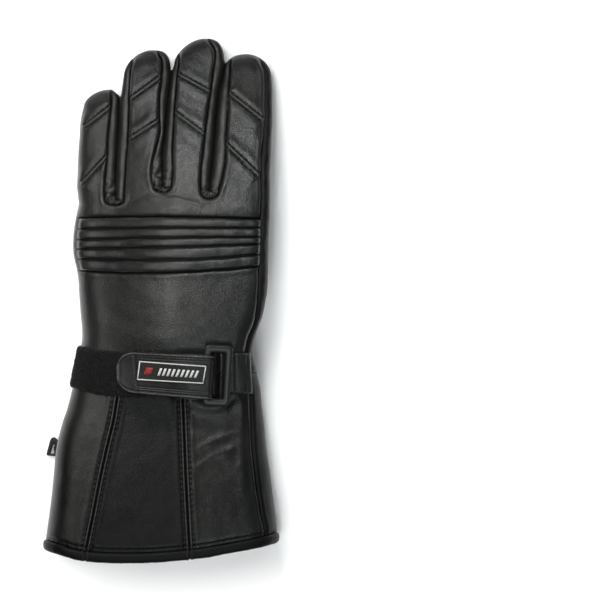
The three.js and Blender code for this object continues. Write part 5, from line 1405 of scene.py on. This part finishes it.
# rolled binding round the mouth of the cuff
def binding():
    """A tube along the hem: its centre follows the wall of the cuff, its section is a soft oval."""
    columns = [column for group in cuff_columns.values() for column in group[:-1]]
    side = np.array([column[0] for column in columns])
    y = np.array([float(curve(HEM, line(HEM_LEVEL))) for _, line in columns]) - SEAM_GAP * 2 - BINDING[0] / 2
    x = np.array([float(line(level)) for (_, line), level in zip(columns, y)])
    points, directions = skin(x, y, side, side == 0)
    centre = points - directions * WALL / 2
    centre[:, 2] = np.maximum(centre[:, 2], BINDING[1] / 2)
    ring = np.concatenate([centre, centre[:1]])
    run = run_along(ring)
    even = np.linspace(0, run[-1], 741)[:-1]
    centre = along(ring, run, even)
    out = unit(along(np.concatenate([directions, directions[:1]]), run, even))
    angle = np.linspace(0, 2 * np.pi, 25)[:-1]
    c = np.sign(np.cos(angle)) * np.abs(np.cos(angle)) ** 0.8
    s = np.sign(np.sin(angle)) * np.abs(np.sin(angle)) ** 0.8
    pucker = 1 + 0.03 * soft_noise(even, even * 0, 3.1, 42) + 0.05 * soft_noise(even, even * 0, 9, 41)
    painted_highlight = np.zeros(len(even))
    on_back = centre[:, 2] > BODY[-1, 1]
    for name in ("little", "middle"):
        far = np.abs(centre[:, 0] - curve(CUFF_SEAMS[name], HEM_LEVEL - 5))
        crest = bell(far - CREST, 0.6) * on_back
        pucker = pucker + 0.08 * crest - 0.11 * bell(far, 0.5) * on_back
        # painted highlight on the binding's crests beside the seams
        painted_highlight = np.maximum(painted_highlight, 0.2 * crest)
    section = pucker[:, None, None] * BINDING_FULL
    tube = (centre[:, None] + np.array([0, 1.0, 0]) * c[:, None] * section * BINDING[0]
            + out[:, None] * s[:, None] * section * BINDING[1])
    tube[..., 2] = tube[..., 2].clip(0)
    mesh_object("glove_cuff_binding", tube.reshape(-1, 3), ring_quads(*tube.shape[:2], closed=True),
                np.repeat(painted_highlight, len(angle)), DULL_LEATHER, "cuff_leather", ["cuff_binding"], weld=None)


binding()

# loop tape round the little-finger edge of the wrist
# upper and lower edge of the tape: (x, y)
TAPE_TOP = np.array([(-56, -28.6), (-51, -28.8), (-39, -31.1), (-8, -32.4)])
TAPE_BOTTOM = np.array([(-56, -53), (-44.8, -56.3), (-30.2, -59.1), (-8, -60.4)])
TAPE_END = -10
TAPE_STAND = 1.55
TAPE_THICKNESS = 1.2


def tape():
    """Looped pile: a band on the skin, roughened by two sizes of noise, with short fibres on it."""
    inset = np.concatenate([[4.6, 3.6, 2.8, 2.1, 1.5, 1, 0.6, 0.32, 0.14, 0.04, 0, 0.04, 0.14, 0.32],
                            [0.6, 1, 1.5, 2.1, 2.8, 3.5], np.linspace(4.2, 39, 62)])
    side = np.concatenate([np.full(10, -1), [0], np.full(len(inset) - 11, 1)])
    end = np.linspace(0, 1, 56)
    at = np.minimum(left_edge(-44.5) + inset, TAPE_END)
    ragged = 0.25 * soft_noise(at, at * 0, 2.1, 51)
    y = mix(curve(TAPE_BOTTOM, at) + ragged, curve(TAPE_TOP, at) + ragged, end[:, None])
    x = np.minimum(left_edge(y) + inset[None], TAPE_END + 0.4 * (inset[None] > 38))
    x[:, -1] = TAPE_END
    points, directions = skin(x, y, side, side == 0)
    pile = 0.22 * soft_noise(x * 3, y * 3 + 9 * side, 2.4, 52) + 0.16 * soft_noise(x * 3, y * 3, 1.1, 53)
    rim = np.minimum(end, 1 - end)[:, None] * 25
    stand = TAPE_STAND * (1 - (1 - (rim / 2.4).clip(0, 1)) ** 2) ** 0.5
    points = points + directions * (stand + pile)[..., None]
    walled("loop_tape", points, directions, TAPE_THICKNESS, PILE, "loop_tape")
    return points, directions


TAPE_MIDDLE_ROW = 28
# the loops: how many, their width, height and thickness
LOOPS = 5200
LOOP_WIDTH = 1.3
LOOP_HEIGHT = 0.8
LOOP_THICKNESS = 0.12


def tape_loops(points, directions):
    """Looped pile: thousands of tiny arches that stand at random places and turns on the tape.

    An arch is half an ellipse of six points with a three-sided section that tapers at both feet.
    """
    chance = np.random.default_rng(54)
    across = run_along(points[TAPE_MIDDLE_ROW])
    column = np.interp(chance.uniform(0, across[-1], LOOPS), across, np.arange(len(across)))
    row = chance.uniform(0, len(points) - 1.001, LOOPS)
    column = column.clip(0, points.shape[1] - 1.001)
    i = row.astype(int)
    j = column.astype(int)
    u = (row - i)[:, None]
    v = (column - j)[:, None]

    def at(grid):
        """Values of a grid at the places of the loops: a blend of the four points round each."""
        low = mix(grid[i, j], grid[i, j + 1], v)
        return mix(low, mix(grid[i + 1, j], grid[i + 1, j + 1], v), u)

    foot = at(points)
    up = unit(at(directions))
    turn = chance.uniform(0, np.pi, (LOOPS, 1))
    level = unit(np.cross(up, np.array([0, 1.0, 0])))
    aside = np.cross(up, level)
    way = level * np.cos(turn) + aside * np.sin(turn)
    side = aside * np.cos(turn) - level * np.sin(turn)
    size = chance.uniform(0.7, 1.3, (LOOPS, 1))
    tip = chance.uniform(-0.5, 0.5, (LOOPS, 1, 1))
    angle = np.linspace(0, np.pi, 6)
    path_out = -np.cos(angle) * LOOP_WIDTH / 2
    path_up = np.sin(angle) * LOOP_HEIGHT - 0.15
    path = (foot[:, None] + way[:, None] * (path_out * size)[..., None]
            + (up[:, None] + side[:, None] * tip) * (path_up * size)[..., None])
    thick = LOOP_THICKNESS * np.array([0, 1, 1, 1, 1, 0])
    outward = up[:, None] * np.sin(angle)[None, :, None] - way[:, None] * np.cos(angle)[None, :, None]
    section = np.radians([0, 120, 240])
    ring = (outward[:, :, None] * np.cos(section)[None, None, :, None]
            + side[:, None, None] * np.sin(section)[None, None, :, None])
    every = path[:, :, None] + ring * thick[None, :, None, None]
    quads = copies(ring_quads(6, 3), LOOPS, 18)
    mesh_object("glove_tape_pile", every.reshape(-1, 3), quads, None, LOOP_PILE, "loop_tape", weld=0.002,
                outward=True)


tape_loops(*tape())

# buckle frame: where the ring lies on the wrist and how it leans
BUCKLE = {"x": 35.1, "y": -47.4, "width": 18.6, "length": 37.6, "left": 4.6, "right": 5.1,
          "top": 3.8, "bottom": 4.6, "turn": -0.045, "under": 2.8, "thickness": 3, "corner": 4.2}


def wrist_height(x, y):
    """Height of the bare skin at a plan place."""
    return float(skin(np.array([x], float), np.array([y], float), 1)[0][0, 2])


# levels and places across where the skin's height sets the lean of the ring
BUCKLE_ENDS = (-31, -64)
BUCKLE_SIDES = (42, 28)
far_end, near_end = (wrist_height(BUCKLE["x"], y) for y in BUCKLE_ENDS)
right_side, left_side = (wrist_height(x, BUCKLE["y"]) for x in BUCKLE_SIDES)
lean_y = (far_end - near_end) / (BUCKLE_ENDS[0] - BUCKLE_ENDS[1])
lean_x = (right_side - left_side) / (BUCKLE_SIDES[0] - BUCKLE_SIDES[1])
ring_x_axis = unit(np.array([1, 0, lean_x]))
ring_up = unit(np.cross(ring_x_axis, [0, 1, lean_y]))
ring_y_axis = np.cross(ring_up, ring_x_axis)
ring_across = ring_x_axis * math.cos(BUCKLE["turn"]) + ring_y_axis * math.sin(BUCKLE["turn"])
ring_down = ring_y_axis * math.cos(BUCKLE["turn"]) - ring_x_axis * math.sin(BUCKLE["turn"])
ring_centre = np.array([BUCKLE["x"], BUCKLE["y"], (far_end + near_end) / 2])


def on_buckle(across, along_it, above):
    """A point in the buckle's own frame: across it, along it and above the wrist."""
    across, along_it, above = np.broadcast_arrays(across, along_it, above)
    return (ring_centre + across[..., None] * ring_across + along_it[..., None] * ring_down
            + above[..., None] * ring_up)


# wrist strap
# heights are (x, height over the skin), edges (x, upper y, lower y)
STRAP_THICKNESS = 1.9
STRAP_TIP = -27.4
STRAP_TOP_END = 25
STRAP_ROUND = 12
STRAP_HEIGHTS = np.array([(-27.4, 1.95), (-12, 2), (2, 3), (16, 5.9), (27, 6.3)])
STRAP_EDGES = np.array([(-28, -31.6, -56.9), (-15.5, -32, -57.9), (9, -33.2, -60), (31.6, -34.3, -61.7)])
LAYER_GAP = 0.35
LOWER_END = 6
FOLD_ACROSS = -BUCKLE["width"] / 2 + BUCKLE["left"] - BUCKLE["thickness"] / 2
FOLD_INNER = BUCKLE["thickness"] / 2 + 0.5
FOLD_HEIGHT = BUCKLE["under"] + BUCKLE["thickness"] / 2
FOLD_X = BUCKLE["x"] + FOLD_ACROSS


def strap_y(x, share):
    """Place along the strap's width: its edges are tabled, and its tip is half a superellipse."""
    top = curve(STRAP_EDGES, x, 1)
    bottom = curve(STRAP_EDGES, x, 2)
    past = ((STRAP_TIP + STRAP_ROUND - x) / STRAP_ROUND).clip(0, 1)
    narrow = (1 - past ** 2.3).clip(0) ** (1 / 2.3)
    return (top + bottom) / 2 + (top - bottom) / 2 * share * np.maximum(narrow, 0.28)


def strap_place(x, y, height):
    """A point above the wrist: on the skin at the strap's tip, in the buckle's frame at its fold."""
    x, y, height = np.broadcast_arrays(x, y, height)
    points, directions = skin(x, y, 1)
    held = smooth_step(4, 24, x)[..., None]
    way = unit(mix(directions, ring_up, held))
    lying = points + directions * height[..., None]
    across = x - BUCKLE["x"]
    along_it = (y - BUCKLE["y"] - across * ring_across[1] - height * ring_up[1]) / ring_down[1]
    return mix(lying, on_buckle(across, along_it, height), held), way


def strap():
    """The strap's path: along the wrist to the buckle, half round its inner bar, back underneath."""
    top_x = mix(STRAP_TIP, STRAP_TOP_END, spread(52, 0.7, 0.12))
    low_x = np.linspace(22, LOWER_END, 10)
    turn = np.radians(np.linspace(90, -90, 19))
    parts = [len(top_x), len(turn), len(low_x)]
    x = np.concatenate([top_x, np.full(len(turn), FOLD_X), low_x])[:, None]
    height = np.repeat([0, FOLD_HEIGHT, LAYER_GAP], parts)
    height[:len(top_x)] = curve(STRAP_HEIGHTS, top_x) + STRAP_THICKNESS
    angle = np.concatenate([np.full(len(top_x), np.pi / 2), turn, np.full(len(low_x), -np.pi / 2)])[:, None]
    radius = np.repeat([0, FOLD_INNER + STRAP_THICKNESS, 0], parts)[:, None]
    share = 2 * spread(24, 0.4, 0.12, 0.12, hold=(6, 6), fine=0.26) - 1
    y = strap_y(x, share)
    points, way = strap_place(x, y, height[:, None])
    directions = unit(way * np.sin(angle)[..., None] + ring_across * np.cos(angle)[..., None])
    rim = (1 - np.abs(share)) * (strap_y(x, 1) - strap_y(x, -1)) / 2
    from_tip = np.minimum(rim, x - STRAP_TIP)
    roll = -0.7 * bell(from_tip, 0.45)
    line = -0.45 * bell(from_tip - 2, 0.42) + 0.35 * bell(from_tip - 1, 0.45)
    upper = angle > 1.5
    past_tip = smooth_step(-16, -13, x)
    ribs = -0.3 * (bell(rim - 3.6, 0.3) + bell(rim - 4.9, 0.3)) * past_tip * upper
    cross = -0.4 * bell(x + 15.2 + 0.085 * (y + 45), 0.5) * upper
    outside = angle > -1.5
    tall = np.where(outside, roll + line + ribs + cross + 0.16 * soft_noise(x, y, 6, 61), 0)
    patchy = 0.7 + 0.3 * soft_noise(x, y, 5, 62).clip(-1, 1)
    # painted highlights: a pale line just inside the rim, and a faint one between the two grooved lines
    painted_highlight = outside * patchy * bell(from_tip - 0.9, 0.38)
    painted_highlight = np.maximum(painted_highlight, 0.12 * upper * bell(rim - 4.25, 0.3) * past_tip)
    points = points + directions * (radius + tall)[..., None]
    points[..., 1] -= radius * np.sin(angle).clip(0) * way[..., 1]
    walled("strap_tab", points, directions, STRAP_THICKNESS, STRAP_LEATHER, "strap", painted_highlight, True)


strap()

# small framed patch on the strap
PATCH_CORNERS = np.array([(-14.4, -49.2), (26.4, -51.5), (-12.9, -37.5), (27.6, -40.5)])
PATCH_THICKNESS = 0.7


def patch_place(u, v, above=0.0):
    """A place on the patch, u across and v up, both from 0 to 1, raised by a height."""
    u = np.asarray(u, float)[..., None]
    low = mix(PATCH_CORNERS[0], PATCH_CORNERS[1], u)
    high = mix(PATCH_CORNERS[2], PATCH_CORNERS[3], u)
    plan = mix(low, high, np.asarray(v, float)[..., None])
    height = curve(STRAP_HEIGHTS, plan[..., 0]) + STRAP_THICKNESS + LAYER_GAP + PATCH_THICKNESS + above
    return strap_place(plan[..., 0], plan[..., 1], height)


def patch_shape(name, grids, thickness, material, replaced=()):
    """Flat shapes on the patch from grids of (u, v), each made into a thin wall."""
    sheet = Sheet()
    for u, v, above in grids:
        points, directions = patch_place(u, v, above)
        sheet.weave(sheet.add(points, directions))
    return mesh_object(name, *sheet.wall(thickness), material, "patch", replaced, weld=None)


def bar_grid(u0, u1, v0, v1, slant=0.0, above=0.12):
    """A small bar on the patch: a parallelogram from corner to corner."""
    v = np.linspace(v0, v1, 4)[:, None]
    u = np.linspace(u0, u1, max(int(abs(u1 - u0) * 40), 3))[None] + slant * (v - v0)
    return u, v + 0 * u, above


# the patch's size, its rim outside the print in shares of it, and the print's frame and bars
PATCH_SIZE = (39, 11)
PATCH_RIM = (0.012, 0.04)
PRINT_THICKNESS = 0.1
FRAME_U = 0.016
FRAME_V = 0.056
BARS = {"v0": 0.3, "v1": 0.7, "slant": 0.07}
body_u, body_v = np.meshgrid(np.linspace(-PATCH_RIM[0], 1 + PATCH_RIM[0], 48),
                             np.linspace(-PATCH_RIM[1], 1 + PATCH_RIM[1], 16))
patch_edge = np.minimum((np.minimum(body_u, 1 - body_u) + PATCH_RIM[0]) * PATCH_SIZE[0],
                        (np.minimum(body_v, 1 - body_v) + PATCH_RIM[1]) * PATCH_SIZE[1])
patch_shape("glove_label_patch", [(body_u, body_v, -0.2 * bell(patch_edge, 0.4))],
            PATCH_THICKNESS, PATCH, ["label_patch"])
patch_shape("glove_patch_frame", [
    bar_grid(0, 1, 0, FRAME_V), bar_grid(0, 1, 1 - FRAME_V, 1),
    bar_grid(0, FRAME_U, FRAME_V, 1 - FRAME_V), bar_grid(1 - FRAME_U, 1, FRAME_V, 1 - FRAME_V),
], PRINT_THICKNESS, PRINT)
patch_shape("glove_patch_bars", [bar_grid(u0, u0 + 0.036, **BARS) for u0 in np.linspace(0.3, 0.84, 9)],
            PRINT_THICKNESS, PRINT)
patch_shape("glove_patch_block", [bar_grid(0.09, 0.2, **BARS)], PRINT_THICKNESS, RED_PRINT)


# short strap from the buckle's outer bar to the index side
# the anchor strap: its left end, its right end at both edges, its levels, lengths of its sides
ANCHOR_THICKNESS = 1.8
ANCHOR_LEFT = 40.6
ANCHOR_RIGHT = (56.3, 54.4)
ANCHOR_LEVELS = (-57.8, -32.6)
ANCHOR_LENGTHS = (15, 25)
ANCHOR_ROWS = (46.2, 52.6)


def anchor():
    """A short double strap with a rolled rim and a channel for each upright row of stitches."""
    share = spread(25, 0.5, 0.12, 0.12)[:, None]
    u = spread(16, 0.5, 0.12, 0.12)
    x = mix(ANCHOR_LEFT, mix(*ANCHOR_RIGHT, share), u)
    y = mix(*ANCHOR_LEVELS, share) + 0 * u
    points, directions = skin(x, y, 1)
    rim = np.minimum(np.minimum(share, 1 - share) * ANCHOR_LENGTHS[1], (1 - u) * ANCHOR_LENGTHS[0])
    tall = LAYER_GAP + ANCHOR_THICKNESS - 0.6 * bell(rim, 0.5) + 0.12 * bell(rim - 1.4, 0.6)
    for line in ANCHOR_ROWS:
        tall = tall - 0.4 * bell(x - line, 0.45)
    points = points + directions * (tall + 0.12 * soft_noise(x, y, 5, 71))[..., None]
    # painted highlight: a faint pale line just inside the rim
    walled("anchor_strap", points, directions, ANCHOR_THICKNESS, STRAP_LEATHER, "strap",
           0.1 * bell(rim - 0.9, 0.4))


anchor()


# stitches
def capsule():
    """A stitch one unit long: a round bar along X whose ends taper to points, as rings and quads."""
    place = np.array([-0.5, -0.44, -0.25, 0, 0.25, 0.44, 0.5])[:, None]
    size = np.array([0, 0.62, 0.95, 1, 0.95, 0.62, 0])[:, None]
    angle = np.arange(6) / 6 * 2 * np.pi
    points = np.stack([place + 0 * angle, size * np.cos(angle), size * np.sin(angle)], -1)
    return points.reshape(-1, 3), ring_quads(len(place), len(angle))


def spaced(values, share):
    """Values at shares of 0 to 1 of the way through a list, straight between its numbers."""
    return np.interp(share, np.linspace(0, 1, len(values)), values)


def on_skin(x, y, relief, height):
    """A run on the skin, along plan points and raised by a relief and a height: points of shares 0 to 1."""
    def place(share):
        """Skin points at shares of the way, moved outward by relief plus height."""
        px = spaced(x, share)
        py = spaced(y, share)
        points, directions = skin(px, py, 1)
        return points + directions * (relief(px, py) + height)[:, None]
    return place


def on_strap(x, across, height):
    """A run on the strap's upper face, along x and a share of its half width: points of shares 0 to 1."""
    def place(share):
        """Points at shares of the way: the strap's own place for x and the share across."""
        px = spaced(x, share)
        level = curve(STRAP_HEIGHTS, px) + STRAP_THICKNESS + height
        return strap_place(px, strap_y(px, spaced(across, share)), level)[0]
    return place


def stitch_row(place, pitch=STITCH_PITCH, up=None):
    """Both ends of each stitch along a run, and their up direction, the skin's own if none is given."""
    line = place(np.linspace(0, 1, 320))
    run = run_along(line)
    count = max(int(round(run[-1] / pitch)), 1)
    middle = (np.arange(count) + 0.5) * run[-1] / count
    half = STITCH_SHARE / 2 * run[-1] / count
    first = along(line, run, middle - half)
    last = along(line, run, middle + half)
    if up is None:
        x, y, _ = ((first + last) / 2).T
        up = skin(x, y, 1)[1]
    return first, last, up


def stitches(name, runs, slot, radius):
    """One mesh of many stitches: the capsule is stretched between its ends and laid in its channel."""
    base, quads = capsule()
    first = np.concatenate([run[0] for run in runs])
    last = np.concatenate([run[1] for run in runs])
    up = np.concatenate([np.broadcast_to(run[2], run[0].shape) for run in runs])
    way = unit(last - first)
    across = unit(np.cross(up, way))
    rise = np.cross(way, across)
    x, y, z = base.T[..., None]
    length = np.linalg.norm(last - first, axis=1)[:, None, None]
    points = ((first + last)[:, None] / 2 + way[:, None] * x * length
              + (across[:, None] * y + rise[:, None] * z) * radius)
    return mesh_object(name, points.reshape(-1, 3), copies(quads, len(first), len(base)), None, THREAD, slot,
                       weld=0.002)


tuck_runs = []
for tuck in TUCKS:
    tuck_x, tuck_y = np.array(tuck).T
    tuck_length = math.hypot(tuck_x[1] - tuck_x[0], tuck_y[1] - tuck_y[0])
    side_x = (tuck_y[1] - tuck_y[0]) / tuck_length
    side_y = (tuck_x[0] - tuck_x[1]) / tuck_length
    for amount in (-TUCK_HALF, TUCK_HALF):
        tuck_runs.append(stitch_row(on_skin(
            tuck_x + side_x * amount, tuck_y + side_y * amount, hand_relief, 0.16)))
stitches("glove_tuck_stitches", tuck_runs, "leather", 0.3)

CUFF_STITCH_HEIGHT = 0.14
cuff_runs = []
cuff_level = STITCH_PITCH * np.linspace(*CUFF_STITCHES, 80)
for seam in (LITTLE, MIDDLE):
    for amount in (-CUFF_ROW, CUFF_ROW):
        place = on_skin(curve(seam, cuff_level) + amount, cuff_level, cuff_relief, CUFF_STITCH_HEIGHT)
        cuff_runs.append(stitch_row(place, STITCH_PITCH * 1.02))
hem_x = np.linspace(-64, 63, 160)
hem_run = on_skin(hem_x, curve(HEM, hem_x) + HEM_ROW, cuff_relief, CUFF_STITCH_HEIGHT)
cuff_runs.append(stitch_row(hem_run, HEM_PITCH))
stitches("glove_cuff_stitches", cuff_runs, "cuff_leather", 0.32)

STRAP_PITCH = 2.6
ANCHOR_STITCH_HEIGHT = LAYER_GAP + 1.72
strap_places = [on_strap(*row) for row in (
    # x, share of the half width, height over the strap
    ((-16, 24), (0.81, 0.81), -0.12), ((-16, 24), (-0.81, -0.81), -0.12),
    ((-14.2, -16.3), (0.76, -0.76), -0.1),
)]
strap_places += [on_skin(x, y, nothing, ANCHOR_STITCH_HEIGHT) for x, y in (
    ((46.2, 46.2), (-56, -34.6)), ((52.7, 52.7), (-56, -34.4)),
    ((46.4, 52.4), (-55.4, -55.6)), ((46.4, 52.4), (-35.2, -35)),
)]
strap_runs = [stitch_row(place, STRAP_PITCH, ring_up) for place in strap_places]
stitches("glove_strap_stitches", strap_runs, "strap", 0.28)

# moulded buckle, hook and the hook's tab
def rounded_outline(corners, radii, arc=9, straight=9):
    """A closed outline: each corner is a quadratic curve, with straight runs between the corners."""
    corners = np.array(corners, float)
    radii = np.array(radii, float)[:, None]
    ways = unit(np.roll(corners, -1, axis=0) - corners)
    starts = corners - np.roll(ways, 1, axis=0) * radii
    ends = corners + ways * radii
    t = np.linspace(0, 1, arc)[:, None]
    share = np.linspace(0, 1, straight + 2)[1:-1, None]
    parts = []
    for corner, start, end, stop in zip(corners, starts, ends, np.roll(starts, -1, axis=0)):
        parts.append((1 - t) ** 2 * start + 2 * t * (1 - t) * corner + t ** 2 * end)
        parts.append(mix(end, stop, share))
    return np.concatenate(parts)


def moulded_ring(name, outer, inner, low, high, bevel, crown, place):
    """A ring with bevelled edges between two outlines; its rows run over the top and back below.

    Each row is a share of the bar's width, a distance across it and a height.
    """
    over = [(0, -1.4), (0.12, -0.8), (0.5, -0.2), (1.1, 0)]
    rows = [(0, 0, low + bevel)]
    rows += [(0, bevel * inset, high + bevel * drop) for inset, drop in over]
    rows += [(0, bevel * 2, high + crown * 0.6), (0.5, 0, high + crown), (1, -bevel * 2, high + crown * 0.6)]
    rows += [(1, -bevel * inset, high + bevel * drop) for inset, drop in over[::-1]]
    rows += [(1, 0, low + bevel), (1, -bevel, low), (0, bevel, low)]
    part, distance, height = np.array(rows).T
    share = part + distance / np.linalg.norm(inner - outer, axis=1)[:, None]
    plan = mix(outer[:, None], inner[:, None], share[..., None])
    points = place(plan[..., 0], plan[..., 1], height)
    mesh_object(f"glove_{name}", points.reshape(-1, 3), ring_quads(*share.shape, closed=True), None, PLASTIC,
                "plastic", [name], weld=None, outward=True)


BUCKLE_RISE = 2.1
half_width = BUCKLE["width"] / 2
half_length = BUCKLE["length"] / 2
inner_left = BUCKLE["left"] - half_width
inner_right = half_width - BUCKLE["right"]
inner_bottom = BUCKLE["bottom"] - half_length - 0.8
inner_top = half_length - BUCKLE["top"] + 0.3
buckle_outer = rounded_outline(
    [(1 - half_width, -half_length - 0.8), (half_width - 1.1, -half_length - 0.8),
     (half_width - 0.75, half_length + 0.9), (0.3 - half_width, half_length + 0.9)], (3.4, 3.6, 3.2, 3))
buckle_inner = rounded_outline(
    [(inner_left, inner_bottom), (inner_right, inner_bottom), (inner_right, inner_top),
     (inner_left, inner_top)], (1, 1, 1, 1))
moulded_ring("buckle", buckle_outer, buckle_inner, BUCKLE["under"], BUCKLE["under"] + BUCKLE["thickness"],
             0.55, 0.25, lambda u, v, h: on_buckle(u, v + BUCKLE_RISE, h))
HOOK_LEVELS = (1.35, 3.75)
hook_outer = rounded_outline(
    [(-71.9, -96.6), (-65.4, -97.3), (-63.9, -87.6), (-67, -84.7), (-69.3, -86.4)],
    (1.3, 1, 2, 1.6, 1.4), 7, 5)
hook_inner = rounded_outline(
    [(-69, -95.5), (-67, -95.6), (-66.3, -90.6), (-66.9, -89.4), (-67.6, -90.4)],
    (0.35, 0.35, 0.3, 0.3, 0.3), 7, 5)


def flat_place(u, v, h):
    """A plan place at a height over the floor."""
    return np.stack(np.broadcast_arrays(u, v, h), -1)


moulded_ring("cuff_hook", hook_outer, hook_inner, *HOOK_LEVELS, 0.4, 0.15, flat_place)

TAB_THICKNESS = 0.55
TAB_END = -61.6
TAB_FOLD = -65.5
TAB_TURN = 1.6
TAB_LEVELS = (-93.9, -91)


def hook_tab():
    """A short strap folded round the hook's inner bar: two leaves and a half turn between them."""
    middle = (HOOK_LEVELS[0] + HOOK_LEVELS[1]) / 2
    reach = (HOOK_LEVELS[1] - HOOK_LEVELS[0]) / 2 + 0.8
    angle = np.radians(np.linspace(90, 270, 17))
    leaf = np.linspace(TAB_END, TAB_FOLD + 0.1, 7)[:-1]
    x = np.concatenate([leaf, TAB_FOLD + TAB_TURN * np.cos(angle), leaf[::-1]])
    z = middle + reach * np.concatenate([np.ones(6), np.sin(angle), -np.ones(6)])
    way = unit(np.stack([np.gradient(x), np.gradient(z)], 1))
    points = flat_place(x[:, None], np.linspace(*TAB_LEVELS, 7), z[:, None])
    out = np.stack([way[:, 1], 0 * x, -way[:, 0]], 1)[:, None] + 0 * points
    walled("hook_tab", points, out, TAB_THICKNESS, STRAP_LEATHER, "strap", outward=True)


hook_tab()

# floor
FLOOR_HALF = 1.6
FLOOR_LEVEL = -0.0002
FLOOR_CORNERS = [(-FLOOR_HALF, -FLOOR_HALF), (FLOOR_HALF, -FLOOR_HALF), (FLOOR_HALF, FLOOR_HALF),
                 (-FLOOR_HALF, FLOOR_HALF)]
floor_mesh = bpy.data.meshes.new("floor")
floor_mesh.from_pydata([(*corner, FLOOR_LEVEL) for corner in FLOOR_CORNERS], [], [(0, 1, 2, 3)])
floor = bpy.data.objects.new("floor", floor_mesh)
bpy.context.scene.collection.objects.link(floor)
floor_material = bpy.data.materials.new("pale_floor")
floor_material.use_nodes = True
fill(floor_material.node_tree, floor_material.node_tree.nodes["Principled BSDF"],
     {"Base Color": (0.9, 0.9, 0.9, 1), "Roughness": 0.9, "Specular IOR Level": 0.1})
floor_mesh.materials.append(floor_material)


# lights
def lamp(name, kind, place, aim, power, colour=(1, 1, 1)):
    """A light at a place in metres, turned to an aim point and hidden from the camera."""
    data = bpy.data.lights.new(name, kind)
    data.energy = power
    data.color = colour
    made = bpy.data.objects.new(name, data)
    made.location = place
    way = mathutils.Vector(aim) - mathutils.Vector(place)
    made.rotation_euler = way.to_track_quat("-Z", "Y").to_euler()
    made.visible_camera = False
    bpy.context.scene.collection.objects.link(made)
    return made


GLOVE_MIDDLE = (0, 0, 0.02)
WIDE_ANGLE = 40
PANELS = (
    # place in metres, size, power, colour
    ((-0.175, 0.343, 0.606), 0.24, 0.8, (1, 1, 0.96)), ((0.008, 0.26, 0.3), 0.09, 0.33, (0.97, 1, 0.99)),
    ((-0.35, 0.04, 0.606), 0.26, 0.5, (1, 1, 0.92)), ((0.35, 0.04, 0.606), 0.26, 0.12, (0.84, 0.95, 1)),
    ((0, -0.31, 0.606), 0.26, 0.34, (0.93, 0.98, 1)), ((0.02, 0.12, 0.3), 0.08, 0.14, (0.97, 1, 0.98)),
    ((-0.15, 0.1, 0.3), 0.08, 0.06, (1, 1, 0.93)), ((-0.06, 0, 0.25), 0.08, 0.1, (1, 1, 0.95)),
    ((0.035, -0.24, 0.33), 0.07, 0.13, (0.93, 0.98, 1)),
)
# far, wide lights on the floor alone: degrees from the X axis, degrees from straight up, power
FLOOR_LIGHTS = ((155, 46, 1.7), (60, 40, 0.3), (250, 40, 1.35), (300, 45, 0.2))

for panel_number, (place, size, power, colour) in enumerate(PANELS):
    soft_panel = lamp(f"panel_{panel_number}", "AREA", place, GLOVE_MIDDLE, power, colour)
    soft_panel.data.size = size
floor_group = bpy.data.collections.new("floor_only")
floor_group.objects.link(floor)
for light_number, (azimuth, zenith, power) in enumerate(FLOOR_LIGHTS):
    turn = math.radians(azimuth)
    down = math.radians(zenith)
    place = (math.cos(turn) * math.sin(down), math.sin(turn) * math.sin(down), math.cos(down))
    floor_lamp = lamp(f"floor_light_{light_number}", "SUN", place, (0, 0, 0), power)
    floor_lamp.data.angle = math.radians(WIDE_ANGLE)
    floor_lamp.light_linking.receiver_collection = floor_group
world = bpy.data.worlds.new("studio")
bpy.context.scene.world = world
world.use_nodes = True
fill(world.node_tree, world.node_tree.nodes["Background"], {"Color": (0.96, 0.98, 1, 1), "Strength": 0.04})
bpy.context.scene.view_settings.view_transform = "Standard"
bpy.context.scene.view_settings.look = "None"

# camera straight above the photograph's middle
FRAME_WIDTH = 0.372
CAMERA_HEIGHT = 4.0
SENSOR_WIDTH = 36
camera_data = bpy.data.cameras.new("camera")
camera_data.sensor_width = SENSOR_WIDTH
camera_data.lens = SENSOR_WIDTH * (CAMERA_HEIGHT - GLOVE_MIDDLE[2]) / FRAME_WIDTH
camera_data.clip_end = 20
camera = bpy.data.objects.new("camera", camera_data)
camera.location = (0.0862, 0.0001, CAMERA_HEIGHT)
bpy.context.scene.collection.objects.link(camera)
bpy.context.scene.camera = camera
